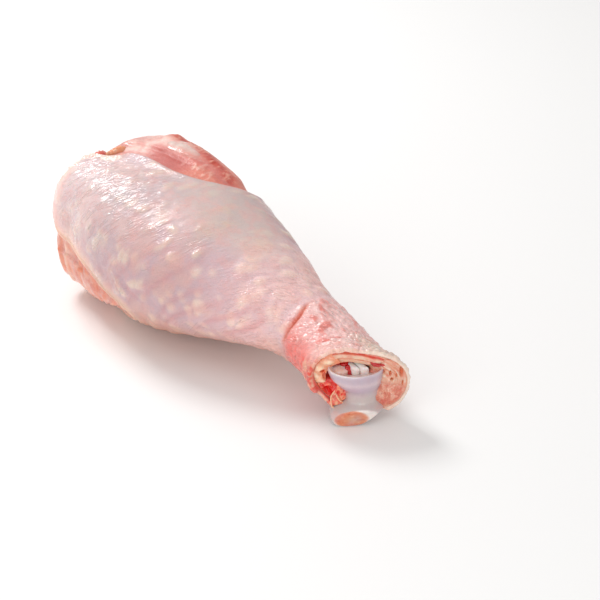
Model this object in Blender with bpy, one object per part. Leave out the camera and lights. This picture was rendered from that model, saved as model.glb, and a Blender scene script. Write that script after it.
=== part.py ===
"""A raw turkey drumstick lying on its side, knee end at -X and sawn hock end at +X.

The leg is one curved body, written as a surface of two parameters: t runs from the middle of the
knee end (0) to the oblique hock rim (1), and phi runs round the leg (0 at +Y, 90 degrees on top).
The skin is a shell under that surface, the meat fills it, and the shin bone runs through the meat
from the knee joint to the knuckle that stands out of the hock. Lengths here are in millimetres in
the leg's own frame, and become metres about the row's origin when a mesh is made.
"""

import math

import bmesh
import bpy
import numpy as np

MM = 0.001
LEG_TO_ROW = np.array([101.41, -0.15, 0.0])  # the row's origin, in the leg's own frame

# The body: a section every few centimetres, each a superellipse with its own height up and down.
KNEE_X = 26.0
KNEE_CAP = 19.0
KNEE_T = 0.16
CAP_SQUARENESS = 5.0
SECTION_X = (26.0, 42.0, 65.0, 90.0, 112.0, 132.0, 148.0, 164.0, 178.0, 190.0, 204.0)
HALF_WIDTH = (38.5, 42.0, 43.0, 39.5, 32.5, 24.5, 18.5, 17.3, 17.0, 17.0, 17.0)
RISE = (33.0, 34.0, 33.0, 31.0, 28.0, 23.0, 18.0, 16.0, 15.2, 14.8, 14.8)
DROP = (36.0, 37.2, 35.6, 31.0, 24.4, 19.0, 16.0, 15.2, 16.2, 17.8, 17.8)
CENTRE_Y = (2.0, 1.0, -1.0, -3.0, -2.5, -1.5, -1.0, -1.7, -3.5, -5.8, -6.5)
CENTRE_Z = (35.0, 35.5, 35.5, 35.0, 33.5, 31.5, 29.0, 25.5, 22.5, 20.2, 19.6)
SQUARENESS = (3.2, 2.75, 2.4, 2.2, 2.1, 2.05, 2.0, 2.0, 2.1, 2.2, 2.2)

# The long muscle that stands up along the top of the thick end.
RIDGE_SHARE = 0.128
RIDGE_PHI = math.radians(66.0)
RIDGE_SPREAD = math.radians(24.0)
RIDGE_X = 50.0
RIDGE_REACH = 38.0
RIDGE_RISE = (10.0, 28.0)

# The hock: an oblique cut, with the skin flaring a little at its rim.
RIM_X = 186.5
RIM_SLANT = 14.0
RIM_RISE = 1.0
RIM_FLARE = 0.07
RIM_FLARE_REACH = 9.0
HEEL_NOTCH_T = 0.062
HEEL_NOTCH_PHI = math.radians(274.0)
HEEL_NOTCH_SPREAD = math.radians(31.0)
HEEL_NOTCH_FIRMNESS = 8

# Layers, from the outside in.
SKIN_THICK = 1.8
SKIN_LIP_THICK = 2.2
LIP_START_T = 0.88
LAYER_GAP = 0.6
PAD_GAP = 1.2
BARE_DEPTH = 1.0
BARE_START = 0.012
BARE_FULL = 0.055
EDGE_MARGIN = math.radians(12.0)
FACE_DISH = 1.0
FACE_T = 0.03
LOBE_DEPTH = 0.55
LOBE_TURN = 0.6
LOBE_FADE = (0.05, 0.14)
MEAT_END_T = 0.925

# The skin's cut edge, as (degrees round the leg, t): a notch over the top muscle and one low down.
SKIN_EDGE = (
    (10, 0.30), (25, 0.40), (37, 0.445), (53, 0.458), (63, 0.45), (70, 0.438), (77, 0.415),
    (82, 0.39), (86, 0.352), (88.5, 0.31), (89.7, 0.25), (90.7, 0.20), (93, 0.163), (104, 0.157),
    (109, 0.12), (114, 0.098), (122, 0.092), (150, 0.092), (168, 0.11), (181, 0.15), (190, 0.275),
    (197, 0.34), (203, 0.403), (212, 0.43), (222, 0.41), (236, 0.28), (250, 0.19), (275, 0.16),
    (315, 0.17), (335, 0.19), (355, 0.22),
)

# The hock's own frame: its middle, the way the cut faces, across it and up it.
HOCK_MIDDLE = np.array([186.5, -6.0, 20.0])
HOCK_OUT = np.array([0.7819, -0.6216, -0.0469])
HOCK_ACROSS = np.array([0.6223, 0.7828, 0.0])
HOCK_UP = np.cross(HOCK_OUT, HOCK_ACROSS)

# The knuckle: level sections as (up, half width, half depth, across, out), foot to flange, then bowl.
KNUCKLE_SECTIONS = (
    (-19.78, 5.8, 5.6, -4.4, -0.8), (-18.6, 7.9, 7.2, -3.7, -0.6), (-15.6, 10.1, 7.8, -1.7, -0.8),
    (-13.4, 11.0, 7.4, 0.1, -1.0), (-11.8, 9.8, 6.6, 1.2, -1.5), (-9.4, 7.2, 5.4, 2.2, -2.4),
    (-6.0, 7.4, 5.6, 2.0, -2.4), (-2.0, 9.4, 6.8, 0.8, -2.0), (2.2, 11.3, 7.8, -0.5, -1.8),
    (5.4, 12.0, 8.3, -0.8, -1.8), (6.5, 11.4, 7.7, -0.8, -1.8), (5.6, 10.3, 6.6, -0.8, -1.8),
    (2.6, 8.2, 5.2, -0.8, -1.8), (1.2, 4.6, 2.8, -0.8, -1.8),
)
GROOVE_FLOOR_UP = 1.0
GROOVE_SLOPE = 0.12
GROOVE_WALL = 12.0
SAWN_FACE_OUT = 5.4
SAWN_FACE_TOP = -12.0
SAWN_FACE_SHOULDER = 2.2

# The shin bone: (x, y, z, half width, half height) of its sections.
SHIN_SECTIONS = (
    (2.3, 0.5, 38.6, 12.6, 9.4), (3.4, 0.5, 38.5, 15.6, 12.0), (7.4, 0.4, 38.0, 16.2, 12.6),
    (14.0, 0.2, 37.6, 14.0, 11.2), (24.0, 0.0, 37.0, 9.6, 8.6), (40.0, -0.5, 36.5, 7.0, 6.8),
    (70.0, -1.4, 35.6, 6.1, 6.0), (105.0, -2.4, 34.2, 5.9, 5.8), (130.0, -1.8, 31.0, 6.2, 6.0),
    (148.0, -1.6, 26.2, 6.8, 6.2), (162.0, -2.6, 19.6, 7.8, 6.4), (172.0, -3.6, 14.8, 8.4, 6.2),
    (180.0, -4.6, 12.2, 6.6, 5.0),
)
PLATEAU_WAIST = 0.14
CUT_GAP = 0.45

# Tendon stubs that lie in the knuckle's groove: (across, up, half width, half height, out).
TENDONS = ((-0.6, 4.0, 1.65, 2.2, -2.0), (3.3, 4.1, 1.75, 2.2, -1.6))
TENDON_RUN = ((24.0, 0.5, 4.4), (18.0, 0.9, 3.4), (8.0, 1.0, 1.2), (0.0, 1.0, 0.0))
TENDON_DRIFT = 0.12
TENDON_FULL = 0.6

# The clot beside them: its middle and half sizes as (across, out, up).
CLOT_MIDDLE = (-4.4, -2.2, 4.2)
CLOT_SIZE = (1.5, 1.2, 2.0)
CLOT_LEVELS = np.radians((25, 60, 90, 120, 155))

# What packs the hock round the knuckle: name, degrees round, shares of the radius, t, dome.
HOCK_PACKING = (
    ("hock_gristle", (-7.0, 50.0), (0.50, 0.98), (0.935, 0.996), 0.6),
    ("hock_pad", (-58.0, -10.0), (0.46, 0.97), (0.935, 0.996), 1.2),
    ("hock_sheath", (54.0, 128.0), (0.62, 0.98), (0.935, 0.978), 0.5),
    ("hock_fat", (132.0, 190.0), (0.50, 0.98), (0.935, 0.992), 2.2),
    ("hock_flesh", (194.0, 256.0), (0.42, 0.97), (0.935, 0.975), 1.6),
)

PACKING_RINGS = ((0.0, 0.9), (0.08, 0.98), (0.5, 1.0), (0.85, 0.99), (1.0, 0.9), (1.0, 0.5))
PACKING_SQUARENESS = 5.0

# Pads that lie on the meat: name, middle t, middle degrees, reach in t, reach in degrees, height.
SURFACE_PADS = (
    ("fascia", 0.250, 70.0, 0.075, 9.0, 0.8),
    ("fat_tag", 0.143, 94.0, 0.013, 8.5, 2.6),
    ("knee_fat", 0.112, -26.0, 0.056, 17.0, 5.0),
)
PAD_PROFILE = ((0.25, 1), (0.55, 1), (0.8, 1), (0.94, 1), (1.0, 0), (0.8, -1), (0.45, -1), (0.2, -1))
PAD_LOBES = 0.12

COLUMNS = 40
EDGE_COLUMN_SHARE = 3.0
SKIN_ROWS = 19
MEAT_ROWS = 21
CAP_ROWS = 6

# Colours as red, green and blue out of 255, with a roughness.
FINISHES = {
    "skin": ((224, 196, 192), 0.32),
    "meat": ((214, 140, 130), 0.38),
    "bone": ((206, 196, 204), 0.25),
    "hock_gristle": ((228, 186, 164), 0.35),
    "hock_pad": ((218, 142, 122), 0.45),
    "hock_sheath": ((232, 186, 166), 0.35),
    "hock_fat": ((240, 182, 146), 0.35),
    "hock_flesh": ((216, 104, 84), 0.32),
    "tendon": ((240, 236, 230), 0.3),
    "clot": ((170, 22, 24), 0.2),
    "fascia": ((228, 180, 174), 0.3),
    "fat_tag": ((236, 184, 160), 0.35),
    "knee_fat": ((240, 222, 204), 0.35),
}


def clear_scene():
    """Start from an empty scene."""
    for thing in list(bpy.data.objects):
        bpy.data.objects.remove(thing, do_unlink=True)


def finish(name):
    """A plain Principled material for one kind of tissue."""
    made = bpy.data.materials.get(name)
    if made:
        return made
    colour, roughness = FINISHES[name]
    share = np.array(colour) / 255.0
    linear = np.where(share < 0.04045, share / 12.92, ((share + 0.055) / 1.055) ** 2.4)
    made = bpy.data.materials.new(name)
    made.use_nodes = True
    shader = made.node_tree.nodes["Principled BSDF"]
    shader.inputs["Base Color"].default_value = (*linear.tolist(), 1.0)
    shader.inputs["Roughness"].default_value = roughness
    shader.inputs["Metallic"].default_value = 0.0
    return made


def smooth_curve(xs, ys, x):
    """A curve through the stations that never overshoots: cubic pieces with harmonic-mean slopes."""
    xs, ys = np.asarray(xs, float), np.asarray(ys, float)
    step = np.diff(xs)
    rise = np.diff(ys) / step
    slope = np.zeros_like(ys)
    same = rise[1:] * rise[:-1] > 0
    total = np.where(same, rise[1:] + rise[:-1], 1.0)
    slope[1:-1] = np.where(same, 2 * rise[1:] * rise[:-1] / total, 0.0)
    slope[0], slope[-1] = rise[0], rise[-1]
    i = np.clip(np.searchsorted(xs, x) - 1, 0, len(step) - 1)
    s = (x - xs[i]) / step[i]
    start = (1 + 2 * s) * (1 - s) ** 2 * ys[i] + s * (1 - s) ** 2 * step[i] * slope[i]
    end = s * s * (3 - 2 * s) * ys[i + 1] + s * s * (s - 1) * step[i] * slope[i + 1]
    return start + end


def smooth_step(low, high, x):
    """0 below low, 1 above high, and a smooth rise between."""
    s = np.clip((x - low) / (high - low), 0.0, 1.0)
    return s * s * (3 - 2 * s)


def skin_edge(phi):
    """The t at which the skin begins, round the leg."""
    degrees = np.degrees(phi) % 360.0
    knots = np.array(SKIN_EDGE, float)
    xs = np.concatenate([knots[-2:, 0] - 360.0, knots[:, 0], knots[:2, 0] + 360.0])
    ys = np.concatenate([knots[-2:, 1], knots[:, 1], knots[:2, 1]])
    return smooth_curve(xs, ys, degrees)


def rim_x(phi):
    """Where the oblique hock rim lies along the leg."""
    return RIM_X + RIM_SLANT * np.cos(phi) + RIM_RISE * np.sin(phi)


def skin_end(phi):
    """The t at which the skin ends: the hock rim, notched underneath where the knuckle stands."""
    from_below = (phi - HEEL_NOTCH_PHI + math.pi) % (2 * math.pi) - math.pi
    return 1.0 - HEEL_NOTCH_T * np.exp(-((from_below / HEEL_NOTCH_SPREAD) ** HEEL_NOTCH_FIRMNESS))


def leg_surface(t, phi):
    """The leg's outer surface, before it is pressed flat on what it lies on.

    Up to KNEE_T it is a squarish cap over the knee; beyond, a superellipse section swept along X.
    """
    turn = np.clip(t / KNEE_T, 0.0, 1.0) * math.pi / 2
    reach = np.sin(turn) ** (2 / CAP_SQUARENESS)
    back = np.cos(turn) ** (2 / CAP_SQUARENESS)
    along = KNEE_X + (t - KNEE_T) / (1 - KNEE_T) * (rim_x(phi) - KNEE_X)
    x = np.where(t < KNEE_T, KNEE_X - KNEE_CAP * back, along)
    at = np.maximum(x, KNEE_X)
    stations = (HALF_WIDTH, RISE, DROP, CENTRE_Y, CENTRE_Z, SQUARENESS)
    wide, rise, drop, mid_y, mid_z, square = (smooth_curve(SECTION_X, s, at) for s in stations)
    c, s = np.cos(phi), np.sin(phi)
    unit = (np.abs(c) ** square + np.abs(s) ** square) ** (-1 / square)
    from_ridge = ((phi - RIDGE_PHI + math.pi) % (2 * math.pi) - math.pi) / RIDGE_SPREAD
    ridge = RIDGE_SHARE * np.exp(-from_ridge**2 - ((x - RIDGE_X) / RIDGE_REACH) ** 2)
    ridge = ridge * smooth_step(*RIDGE_RISE, x)
    flare = RIM_FLARE * np.exp(-(((rim_x(phi) - x) / RIM_FLARE_REACH) ** 2))
    radius = reach * unit * (1 + ridge) * (1 + flare)
    y = mid_y + radius * wide * c
    z = mid_z + radius * np.where(s > 0, rise, drop) * s
    return np.stack([x, y, z], axis=-1)


def inner_surface(t, phi, depth):
    """The leg's surface sunk by depth along its normal, and kept that far above the floor."""
    dt, dphi = 0.004, 0.01
    low, high = np.clip(t - dt, 0.0005, 1.0), np.clip(t + dt, 0.0005, 1.0)
    along = leg_surface(high, phi) - leg_surface(low, phi)
    inside = np.maximum(t, 0.0005)
    around = leg_surface(inside, phi + dphi) - leg_surface(inside, phi - dphi)
    normal = np.cross(around, along)
    normal /= np.linalg.norm(normal, axis=-1, keepdims=True) + 1e-12
    depth = np.broadcast_to(depth, normal.shape[:-1])
    sunk = leg_surface(t, phi) - normal * depth[..., None]
    sunk[..., 2] = np.maximum(sunk[..., 2], depth)
    return sunk


def skin_thickness(t):
    """The skin's thickness, which grows to a fatty lip at the hock."""
    return SKIN_THICK + (SKIN_LIP_THICK - SKIN_THICK) * smooth_step(LIP_START_T, 1.0, t)


def meat_depth(t, phi):
    """How far the meat lies under the leg's surface: just under the skin, and bare beyond its edge."""
    covered = skin_thickness(t) + LAYER_GAP
    edge = np.minimum(skin_edge(phi - EDGE_MARGIN), skin_edge(phi + EDGE_MARGIN))
    edge = np.minimum(edge, skin_edge(phi))
    bare = smooth_step(BARE_START, BARE_FULL, edge - t)
    dish = FACE_DISH * (1 - smooth_step(0.0, FACE_T, t))
    knee = smooth_step(0.0, FACE_T, t) * (1 - smooth_step(*LOBE_FADE, t))
    lobes = LOBE_DEPTH * (1 + np.cos(3 * phi - LOBE_TURN)) * knee
    return covered + (BARE_DEPTH + dish + lobes - covered) * bare


def ring_angles():
    """The columns' angles: even round the leg, but closer where the skin's edge runs lengthwise."""
    fine = np.linspace(0.0, 2 * math.pi, 1441)
    climb = np.concatenate([[0.0], np.cumsum(np.abs(np.diff(skin_edge(fine))))])
    spread = fine + EDGE_COLUMN_SHARE * climb
    return np.interp(np.arange(COLUMNS) / COLUMNS * spread[-1], spread, fine)


def make_object(name, points, faces, material):
    """A named object from points in leg millimetres, with its faces turned outward."""
    placed = (np.asarray(points, float).reshape(-1, 3) - LEG_TO_ROW) * MM
    mesh = bpy.data.meshes.new(name)
    mesh.from_pydata(placed.tolist(), [], faces)
    shape = bmesh.new()
    shape.from_mesh(mesh)
    bmesh.ops.triangulate(shape, faces=shape.faces)
    bmesh.ops.recalc_face_normals(shape, faces=shape.faces)
    shape.to_mesh(mesh)
    shape.free()
    mesh.shade_smooth()
    thing = bpy.data.objects.new(name, mesh)
    thing.data.materials.append(finish(material))
    bpy.context.scene.collection.objects.link(thing)
    return thing


def ring_faces(rows, columns, loop=False):
    """Quads between neighbouring rings of points, and from the last ring to the first in a loop."""
    faces = []
    for i in range(rows if loop else rows - 1):
        for j in range(columns):
            a, b = i * columns, (i + 1) % rows * columns
            k = (j + 1) % columns
            faces.append((a + j, a + k, b + k, b + j))
    return faces


def closed_stack(name, rings, material):
    """A closed body from rings of points, each end closed by a fan about its ring's middle."""
    rings = np.asarray(rings, float)
    rows, columns = rings.shape[:2]
    faces = ring_faces(rows, columns)
    first, last = rows * columns, rows * columns + 1
    end = (rows - 1) * columns
    for j in range(columns):
        k = (j + 1) % columns
        faces.append((first, k, j))
        faces.append((last, end + j, end + k))
    ends = np.stack([rings[0].mean(axis=0), rings[-1].mean(axis=0)])
    return make_object(name, np.concatenate([rings.reshape(-1, 3), ends]), faces, material)


def cut(thing, cutter):
    """Take a hidden cutter away from a piece."""
    boolean = thing.modifiers.new("cut by " + cutter.name, "BOOLEAN")
    boolean.operation = "DIFFERENCE"
    boolean.solver = "EXACT"
    boolean.object = cutter


def hide_guide(thing):
    """Mark a cutter or a guide, which is no part of the leg."""
    thing.hide_render = True
    thing.display_type = "WIRE"


def build_skin(cutter):
    """The skin: a shell from its cut edge to the hock rim, closed round both edges."""
    s = np.linspace(0.0, 1.0, SKIN_ROWS)[:, None] ** 1.1
    phi = ring_angles()[None, :] + 0 * s
    edge = skin_edge(phi)
    t = edge + s * (skin_end(phi) - edge)
    outer = inner_surface(t, phi, 0.0)
    inner = inner_surface(t, phi, skin_thickness(t))
    rings = np.concatenate([outer, inner[::-1]])
    faces = ring_faces(len(rings), COLUMNS, loop=True)
    skin = make_object("skin", rings, faces, "skin")
    cut(skin, cutter)
    return skin


def build_meat(cutters):
    """The meat: all that the skin wraps, bare at the knee end, with channels for bone and tendons."""
    cap = np.linspace(0.0, 1.0, CAP_ROWS + 2)[1:-1] ** 1.3 * KNEE_T
    length = KNEE_T + np.linspace(0.0, 1.0, MEAT_ROWS - CAP_ROWS) ** 1.1 * (MEAT_END_T - KNEE_T)
    t = np.concatenate([cap, length])[:, None]
    phi = ring_angles()[None, :] + 0 * t
    meat = closed_stack("meat", inner_surface(t, phi, meat_depth(t, phi)), "meat")
    for cutter in cutters:
        cut(meat, cutter)
    return meat


def shin_rings(grow):
    """Sections of the shin bone, waisted at the knee plateau between its two shallow dishes."""
    around = np.linspace(0.0, 2 * math.pi, 20, endpoint=False)
    rings = []
    for i, (x, y, z, wide, high) in enumerate(SHIN_SECTIONS):
        waist = PLATEAU_WAIST * (1 - smooth_step(5.5, 17.0, x)) * np.sin(around) ** 2
        spread = 1 + grow / wide
        ring_y = y + wide * spread * np.cos(around)
        ring_z = z + (high + grow) * (1 - waist) * np.sin(around)
        push = -grow if i == 0 else (grow if i == len(SHIN_SECTIONS) - 1 else 0.0)
        rings.append(np.stack([np.full_like(around, x + push), ring_y, ring_z], axis=-1))
    return rings


def hock_place(across, out, up):
    """Points from distances across, out of and up the hock's cut."""
    sideways = np.outer(across, HOCK_ACROSS)
    return HOCK_MIDDLE + sideways + np.outer(out, HOCK_OUT) + np.outer(up, HOCK_UP)


def knuckle_rings(grow):
    """Level sections of the knuckle: foot, waist, flange and the bowl in its top.

    The bowl's wall drops at the back, where the tendons come in, and the foot is sawn flat in front.
    """
    around = np.linspace(0.0, 2 * math.pi, 28, endpoint=False)
    flange = max(section[0] for section in KNUCKLE_SECTIONS)
    top = [section[0] for section in KNUCKLE_SECTIONS].index(flange)
    rings = []
    for i, (up, wide, deep, across, out) in enumerate(KNUCKLE_SECTIONS):
        side = grow if i <= top else -grow
        u = across + (wide + side) * np.cos(around)
        n = out + (deep + side) * np.sin(around)
        forward = 1 - smooth_step(-0.3, 0.8, -np.sin(around))
        lip = GROOVE_FLOOR_UP + GROOVE_WALL * forward
        w = np.where(up > lip, lip + GROOVE_SLOPE * (up - lip), up) + (grow if i else -grow)
        sawn = SAWN_FACE_OUT + SAWN_FACE_SHOULDER * np.maximum(w - SAWN_FACE_TOP, 0.0) + grow
        n = np.minimum(n, sawn)
        rings.append(hock_place(u, n, w))
    return rings


def build_bone(name, grow):
    """The bone with its knuckle joined on, or a slightly fatter one to cut the space that it needs."""
    shin = closed_stack(name, shin_rings(grow), "bone")
    knuckle = closed_stack(name + "_knuckle", knuckle_rings(grow), "bone")
    hide_guide(knuckle)
    join = shin.modifiers.new("knuckle", "BOOLEAN")
    join.operation = "UNION"
    join.solver = "EXACT"
    join.object = knuckle
    return shin


def rounded_section(half_width, half_height, count=12, square=3.5):
    """Points round a soft-cornered rectangle."""
    around = np.linspace(0.0, 2 * math.pi, count, endpoint=False)
    c, s = np.cos(around), np.sin(around)
    unit = (np.abs(c) ** square + np.abs(s) ** square) ** (-1 / square)
    return unit * half_width * c, unit * half_height * s


def build_tendon(name, place, grow):
    """A flat tendon that comes out of the meat over the knuckle and ends in a cut stub."""
    across, up, half_width, half_height, out = place
    rings = []
    for back, size, lift in TENDON_RUN:
        du, dw = rounded_section(half_width * size + grow, half_height * size + grow)
        u, w = across + du, up + lift + dw
        if back == 0.0:
            end = grow
        elif size < TENDON_FULL:
            end = -grow
        else:
            end = 0.0
        start = HOCK_MIDDLE + (out + end) * HOCK_OUT - np.array([back, -back * TENDON_DRIFT, 0.0])
        rings.append(start + np.outer(u, HOCK_ACROSS) + np.outer(w, HOCK_UP))
    return closed_stack(name, rings, "tendon")


def hock_point(t, phi, share):
    """A point inside the hock: a share of the way from the leg's middle line to the skin's inside."""
    wall = inner_surface(t, phi, skin_thickness(t) + LAYER_GAP)
    x = KNEE_X + (t - KNEE_T) / (1 - KNEE_T) * (RIM_X - KNEE_X)
    mid_y = smooth_curve(SECTION_X, CENTRE_Y, x)
    mid_z = smooth_curve(SECTION_X, CENTRE_Z, x)
    middle = np.stack([x, mid_y, mid_z], axis=-1)
    return middle + np.asarray(share)[..., None] * (wall - middle)


def build_packing(name, degrees, shares, ts, dome, cutters):
    """A block of tissue between the knuckle and the skin, with soft edges and a domed cut face."""
    count = 18
    du, dw = rounded_section(1.0, 1.0, count, PACKING_SQUARENESS)
    rings = []
    for i, (along, size) in enumerate(PACKING_RINGS):
        phi = np.radians(np.mean(degrees) + du * size * (degrees[1] - degrees[0]) / 2)
        share = np.mean(shares) + dw * size * (shares[1] - shares[0]) / 2
        t = np.full(count, ts[0] + along * (ts[1] - ts[0]))
        points = hock_point(t, phi, share)
        if i == len(PACKING_RINGS) - 1:
            points = points + dome * HOCK_OUT
        rings.append(points)
    block = closed_stack(name, rings, name)
    for cutter in cutters:
        cut(block, cutter)
    return block


def build_clot():
    """A clot of blood in the groove beside the tendons."""
    around = np.linspace(0.0, 2 * math.pi, 12, endpoint=False)
    across, out, up = CLOT_MIDDLE
    wide, deep, high = CLOT_SIZE
    rings = []
    for turn in CLOT_LEVELS:
        u = across + wide * math.sin(turn) * np.cos(around)
        n = out + deep * math.sin(turn) * np.sin(around)
        w = np.full_like(around, up - high * math.cos(turn))
        rings.append(hock_place(u, n, w))
    return closed_stack("clot", rings, "clot")


def build_pad(name, mid_t, mid_degrees, reach_t, reach_degrees, height):
    """A low pad of fat or membrane that lies on the meat: a lens over a patch of its surface."""
    around = np.linspace(0.0, 2 * math.pi, 16, endpoint=False)
    rings = []
    for r, side in PAD_PROFILE:
        t = mid_t + reach_t * r * np.cos(around)
        phi = np.radians(mid_degrees + reach_degrees * r * np.sin(around))
        lobes = 1 + PAD_LOBES * np.cos(3 * around + 5 * r)
        top = height * math.sqrt(1 - r**2) * lobes if side > 0 else 0.0
        rings.append(inner_surface(t, phi, meat_depth(t, phi) - PAD_GAP - top))
    return closed_stack(name, rings, name)


def main():
    """Build the leg from the bone outwards."""
    clear_scene()
    build_bone("bone", 0.0)
    bone_room = build_bone("bone_room", CUT_GAP)
    hide_guide(bone_room)
    cutters = [bone_room]
    for i, place in enumerate(TENDONS, start=1):
        build_tendon(f"tendon_{i}", place, 0.0)
        room = build_tendon(f"tendon_{i}_room", place, CUT_GAP)
        hide_guide(room)
        cutters.append(room)
    build_meat(cutters)
    for name, degrees, shares, ts, dome in HOCK_PACKING:
        build_packing(name, degrees, shares, ts, dome, cutters)
    build_clot()
    for pad in SURFACE_PADS:
        build_pad(*pad)
    build_skin(bone_room)


main()
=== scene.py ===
"""A raw turkey drumstick lying on its side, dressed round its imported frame.

The leg is a curved body drawn by two numbers: t runs from the middle of the knee end (0) to the
oblique hock rim (1), and phi runs round the leg (0 at +Y, a quarter turn on top). Hide, meat, bone
and the tissue in the hock are all surfaces over that body. Sizes are millimetres in the leg's own
frame and become metres about the row's origin when a mesh is made. Colours are out of 255.
"""

import itertools
import logging
import math
from dataclasses import dataclass
from enum import Enum
from typing import Callable

import bpy
import numpy as np
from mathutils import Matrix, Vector


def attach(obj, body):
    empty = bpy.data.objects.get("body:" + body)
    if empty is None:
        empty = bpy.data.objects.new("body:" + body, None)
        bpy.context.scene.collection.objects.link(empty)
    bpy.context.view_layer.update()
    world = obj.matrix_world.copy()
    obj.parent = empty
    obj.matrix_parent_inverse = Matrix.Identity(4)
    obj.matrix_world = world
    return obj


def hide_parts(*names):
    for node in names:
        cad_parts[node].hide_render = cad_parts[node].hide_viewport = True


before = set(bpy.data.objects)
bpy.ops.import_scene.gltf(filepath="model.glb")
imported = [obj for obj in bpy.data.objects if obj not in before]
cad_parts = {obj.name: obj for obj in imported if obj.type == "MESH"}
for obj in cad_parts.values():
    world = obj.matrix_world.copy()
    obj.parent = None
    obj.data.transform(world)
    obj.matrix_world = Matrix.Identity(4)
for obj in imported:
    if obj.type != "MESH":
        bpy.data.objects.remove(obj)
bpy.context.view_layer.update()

logging.basicConfig(level=logging.INFO, format="%(levelname)s %(message)s")
log = logging.getLogger("drumstick")

Array = np.ndarray
Socket = bpy.types.NodeSocket
Colour = tuple[float, float, float]
MM = 0.001
TURN = 2 * math.pi
LEG_TO_ROW = np.array([101.41, -0.15, 0.0])  # the row's origin, in the leg's own frame
FULL_LENGTH = 191.0  # millimetres from t = 0 to t = 1
CHART_UNIT = 100.0  # millimetres in one unit of the hide's chart
CHART_RADIUS = 40.0  # the radius that turns the chart's angle into a distance
WORD = 0xFFFFFFFF  # the largest 32-bit number
AXIS_FACTORS = (374761393, 668265263, 1440662683)  # large odd numbers that mix a cell's indices
SEED_FACTOR = 974634777
MIXING = ((13, 1274126177), (15, 1103515245))  # (shift, factor) of each round of mixing


# ---------------- curves, steps and noise


def ramp(low: float, high: float, x: Array) -> Array:
    """A smooth rise from 0 at low to 1 at high: 3s^2 - 2s^3 of the clipped share s."""
    s = np.clip((np.asarray(x, float) - low) / (high - low), 0.0, 1.0)
    return s * s * (3 - 2 * s)


def between(x: Array, low: float, rise: float, fall: float, high: float) -> Array:
    """1 from rise to fall, fading smoothly to 0 at low and at high."""
    return ramp(low, rise, x) * ramp(high, fall, x)


def smooth_curve(xs: Array, ys: Array, x: Array) -> Array:
    """A curve through stations that never overshoots: cubic pieces with harmonic-mean slopes.

    Args:
        xs: rising places of the stations.
        ys: the value at each.
        x: places to read.

    Returns:
        The curve's values at x.
    """
    xs, ys = np.asarray(xs, float), np.asarray(ys, float)
    step = np.diff(xs)
    rise = np.diff(ys) / step
    slope = np.zeros_like(ys)
    same = rise[1:] * rise[:-1] > 0
    total = np.where(same, rise[1:] + rise[:-1], 1.0)
    slope[1:-1] = np.where(same, 2 * rise[1:] * rise[:-1] / total, 0.0)
    slope[0], slope[-1] = rise[0], rise[-1]
    i = np.clip(np.searchsorted(xs, x) - 1, 0, len(step) - 1)
    s = (x - xs[i]) / step[i]
    start = (1 + 2 * s) * (1 - s) ** 2 * ys[i] + s * (1 - s) ** 2 * step[i] * slope[i]
    end = s * s * (3 - 2 * s) * ys[i + 1] + s * s * (s - 1) * step[i] * slope[i + 1]
    return start + end


def curves(table: Array, at: Array) -> list[Array]:
    """Each column of a table as a smooth curve over its row numbers, read at the same places."""
    return [smooth_curve(np.arange(len(table)), column, at) for column in table.T]


def soft_min(a: Array, b: Array, rounding: float) -> Array:
    """The smaller value with a rounded changeover: minus rounding times the log of summed powers."""
    return -rounding * np.logaddexp(-a / rounding, -b / rounding)


def bump(x: Array, middle: float, width: float) -> Array:
    """A bell curve round a middle: exp of minus the squared distance in widths."""
    return np.exp(-(((x - middle) / width) ** 2))


def angle_from(phi: Array, middle: float) -> Array:
    """The signed turn from middle to phi, within half a turn either way."""
    return (phi - middle + math.pi) % TURN - math.pi


def cell_random(cells: Array, seed: int) -> Array:
    """A fixed random number from 0 to 1 for each whole-number cell, by mixing its three indices.

    Args:
        cells: integer cell indices, (..., 3).
        seed: which set of numbers.

    Returns:
        One number for each cell.
    """
    mixed = sum(cells[..., axis] * factor for axis, factor in enumerate(AXIS_FACTORS))
    mixed = (mixed + seed * SEED_FACTOR) & WORD
    for shift, factor in MIXING:
        mixed = ((mixed ^ (mixed >> shift)) * factor) & WORD
    return (mixed ^ (mixed >> 16)) / WORD


def soft_noise(points: Array, seed: int = 0) -> Array:
    """Smooth noise from -1 to 1: random corner values of unit cells, blended by a quintic.

    Args:
        points: places, (..., 3), one unit a cell.
        seed: which pattern.

    Returns:
        The noise at each place.
    """
    base = np.floor(points).astype(np.int64)
    part = points - base
    part = part**3 * (part * (part * 6 - 15) + 10)
    total = np.zeros(points.shape[:-1])
    for corner in itertools.product((0, 1), repeat=3):
        share = np.prod(np.where(corner, part, 1 - part), axis=-1)
        total += share * cell_random(base + np.array(corner), seed)
    return total * 2 - 1


def noise(points: Array, layers: int = 3, seed: int = 0) -> Array:
    """Noise from about -1 to 1 in layers, each twice as fine and half as strong as the last.

    Args:
        points: places, (..., 3), one unit a cell of the coarsest layer.
        layers: how many.
        seed: which pattern.

    Returns:
        The summed noise.
    """
    total = np.zeros(points.shape[:-1])
    for layer in range(layers):
        total += soft_noise(points * 2**layer + 17.3 * layer, seed + layer) / 2**layer
    return total / (2 - 0.5 ** (layers - 1))


def sheet_noise(a: Array, b: Array, seed: int, layers: int = 2) -> Array:
    """Layered noise over two coordinates."""
    a, b = np.broadcast_arrays(a, b)
    return noise(np.stack([a, b, 0 * a], axis=-1), layers, seed)


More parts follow.
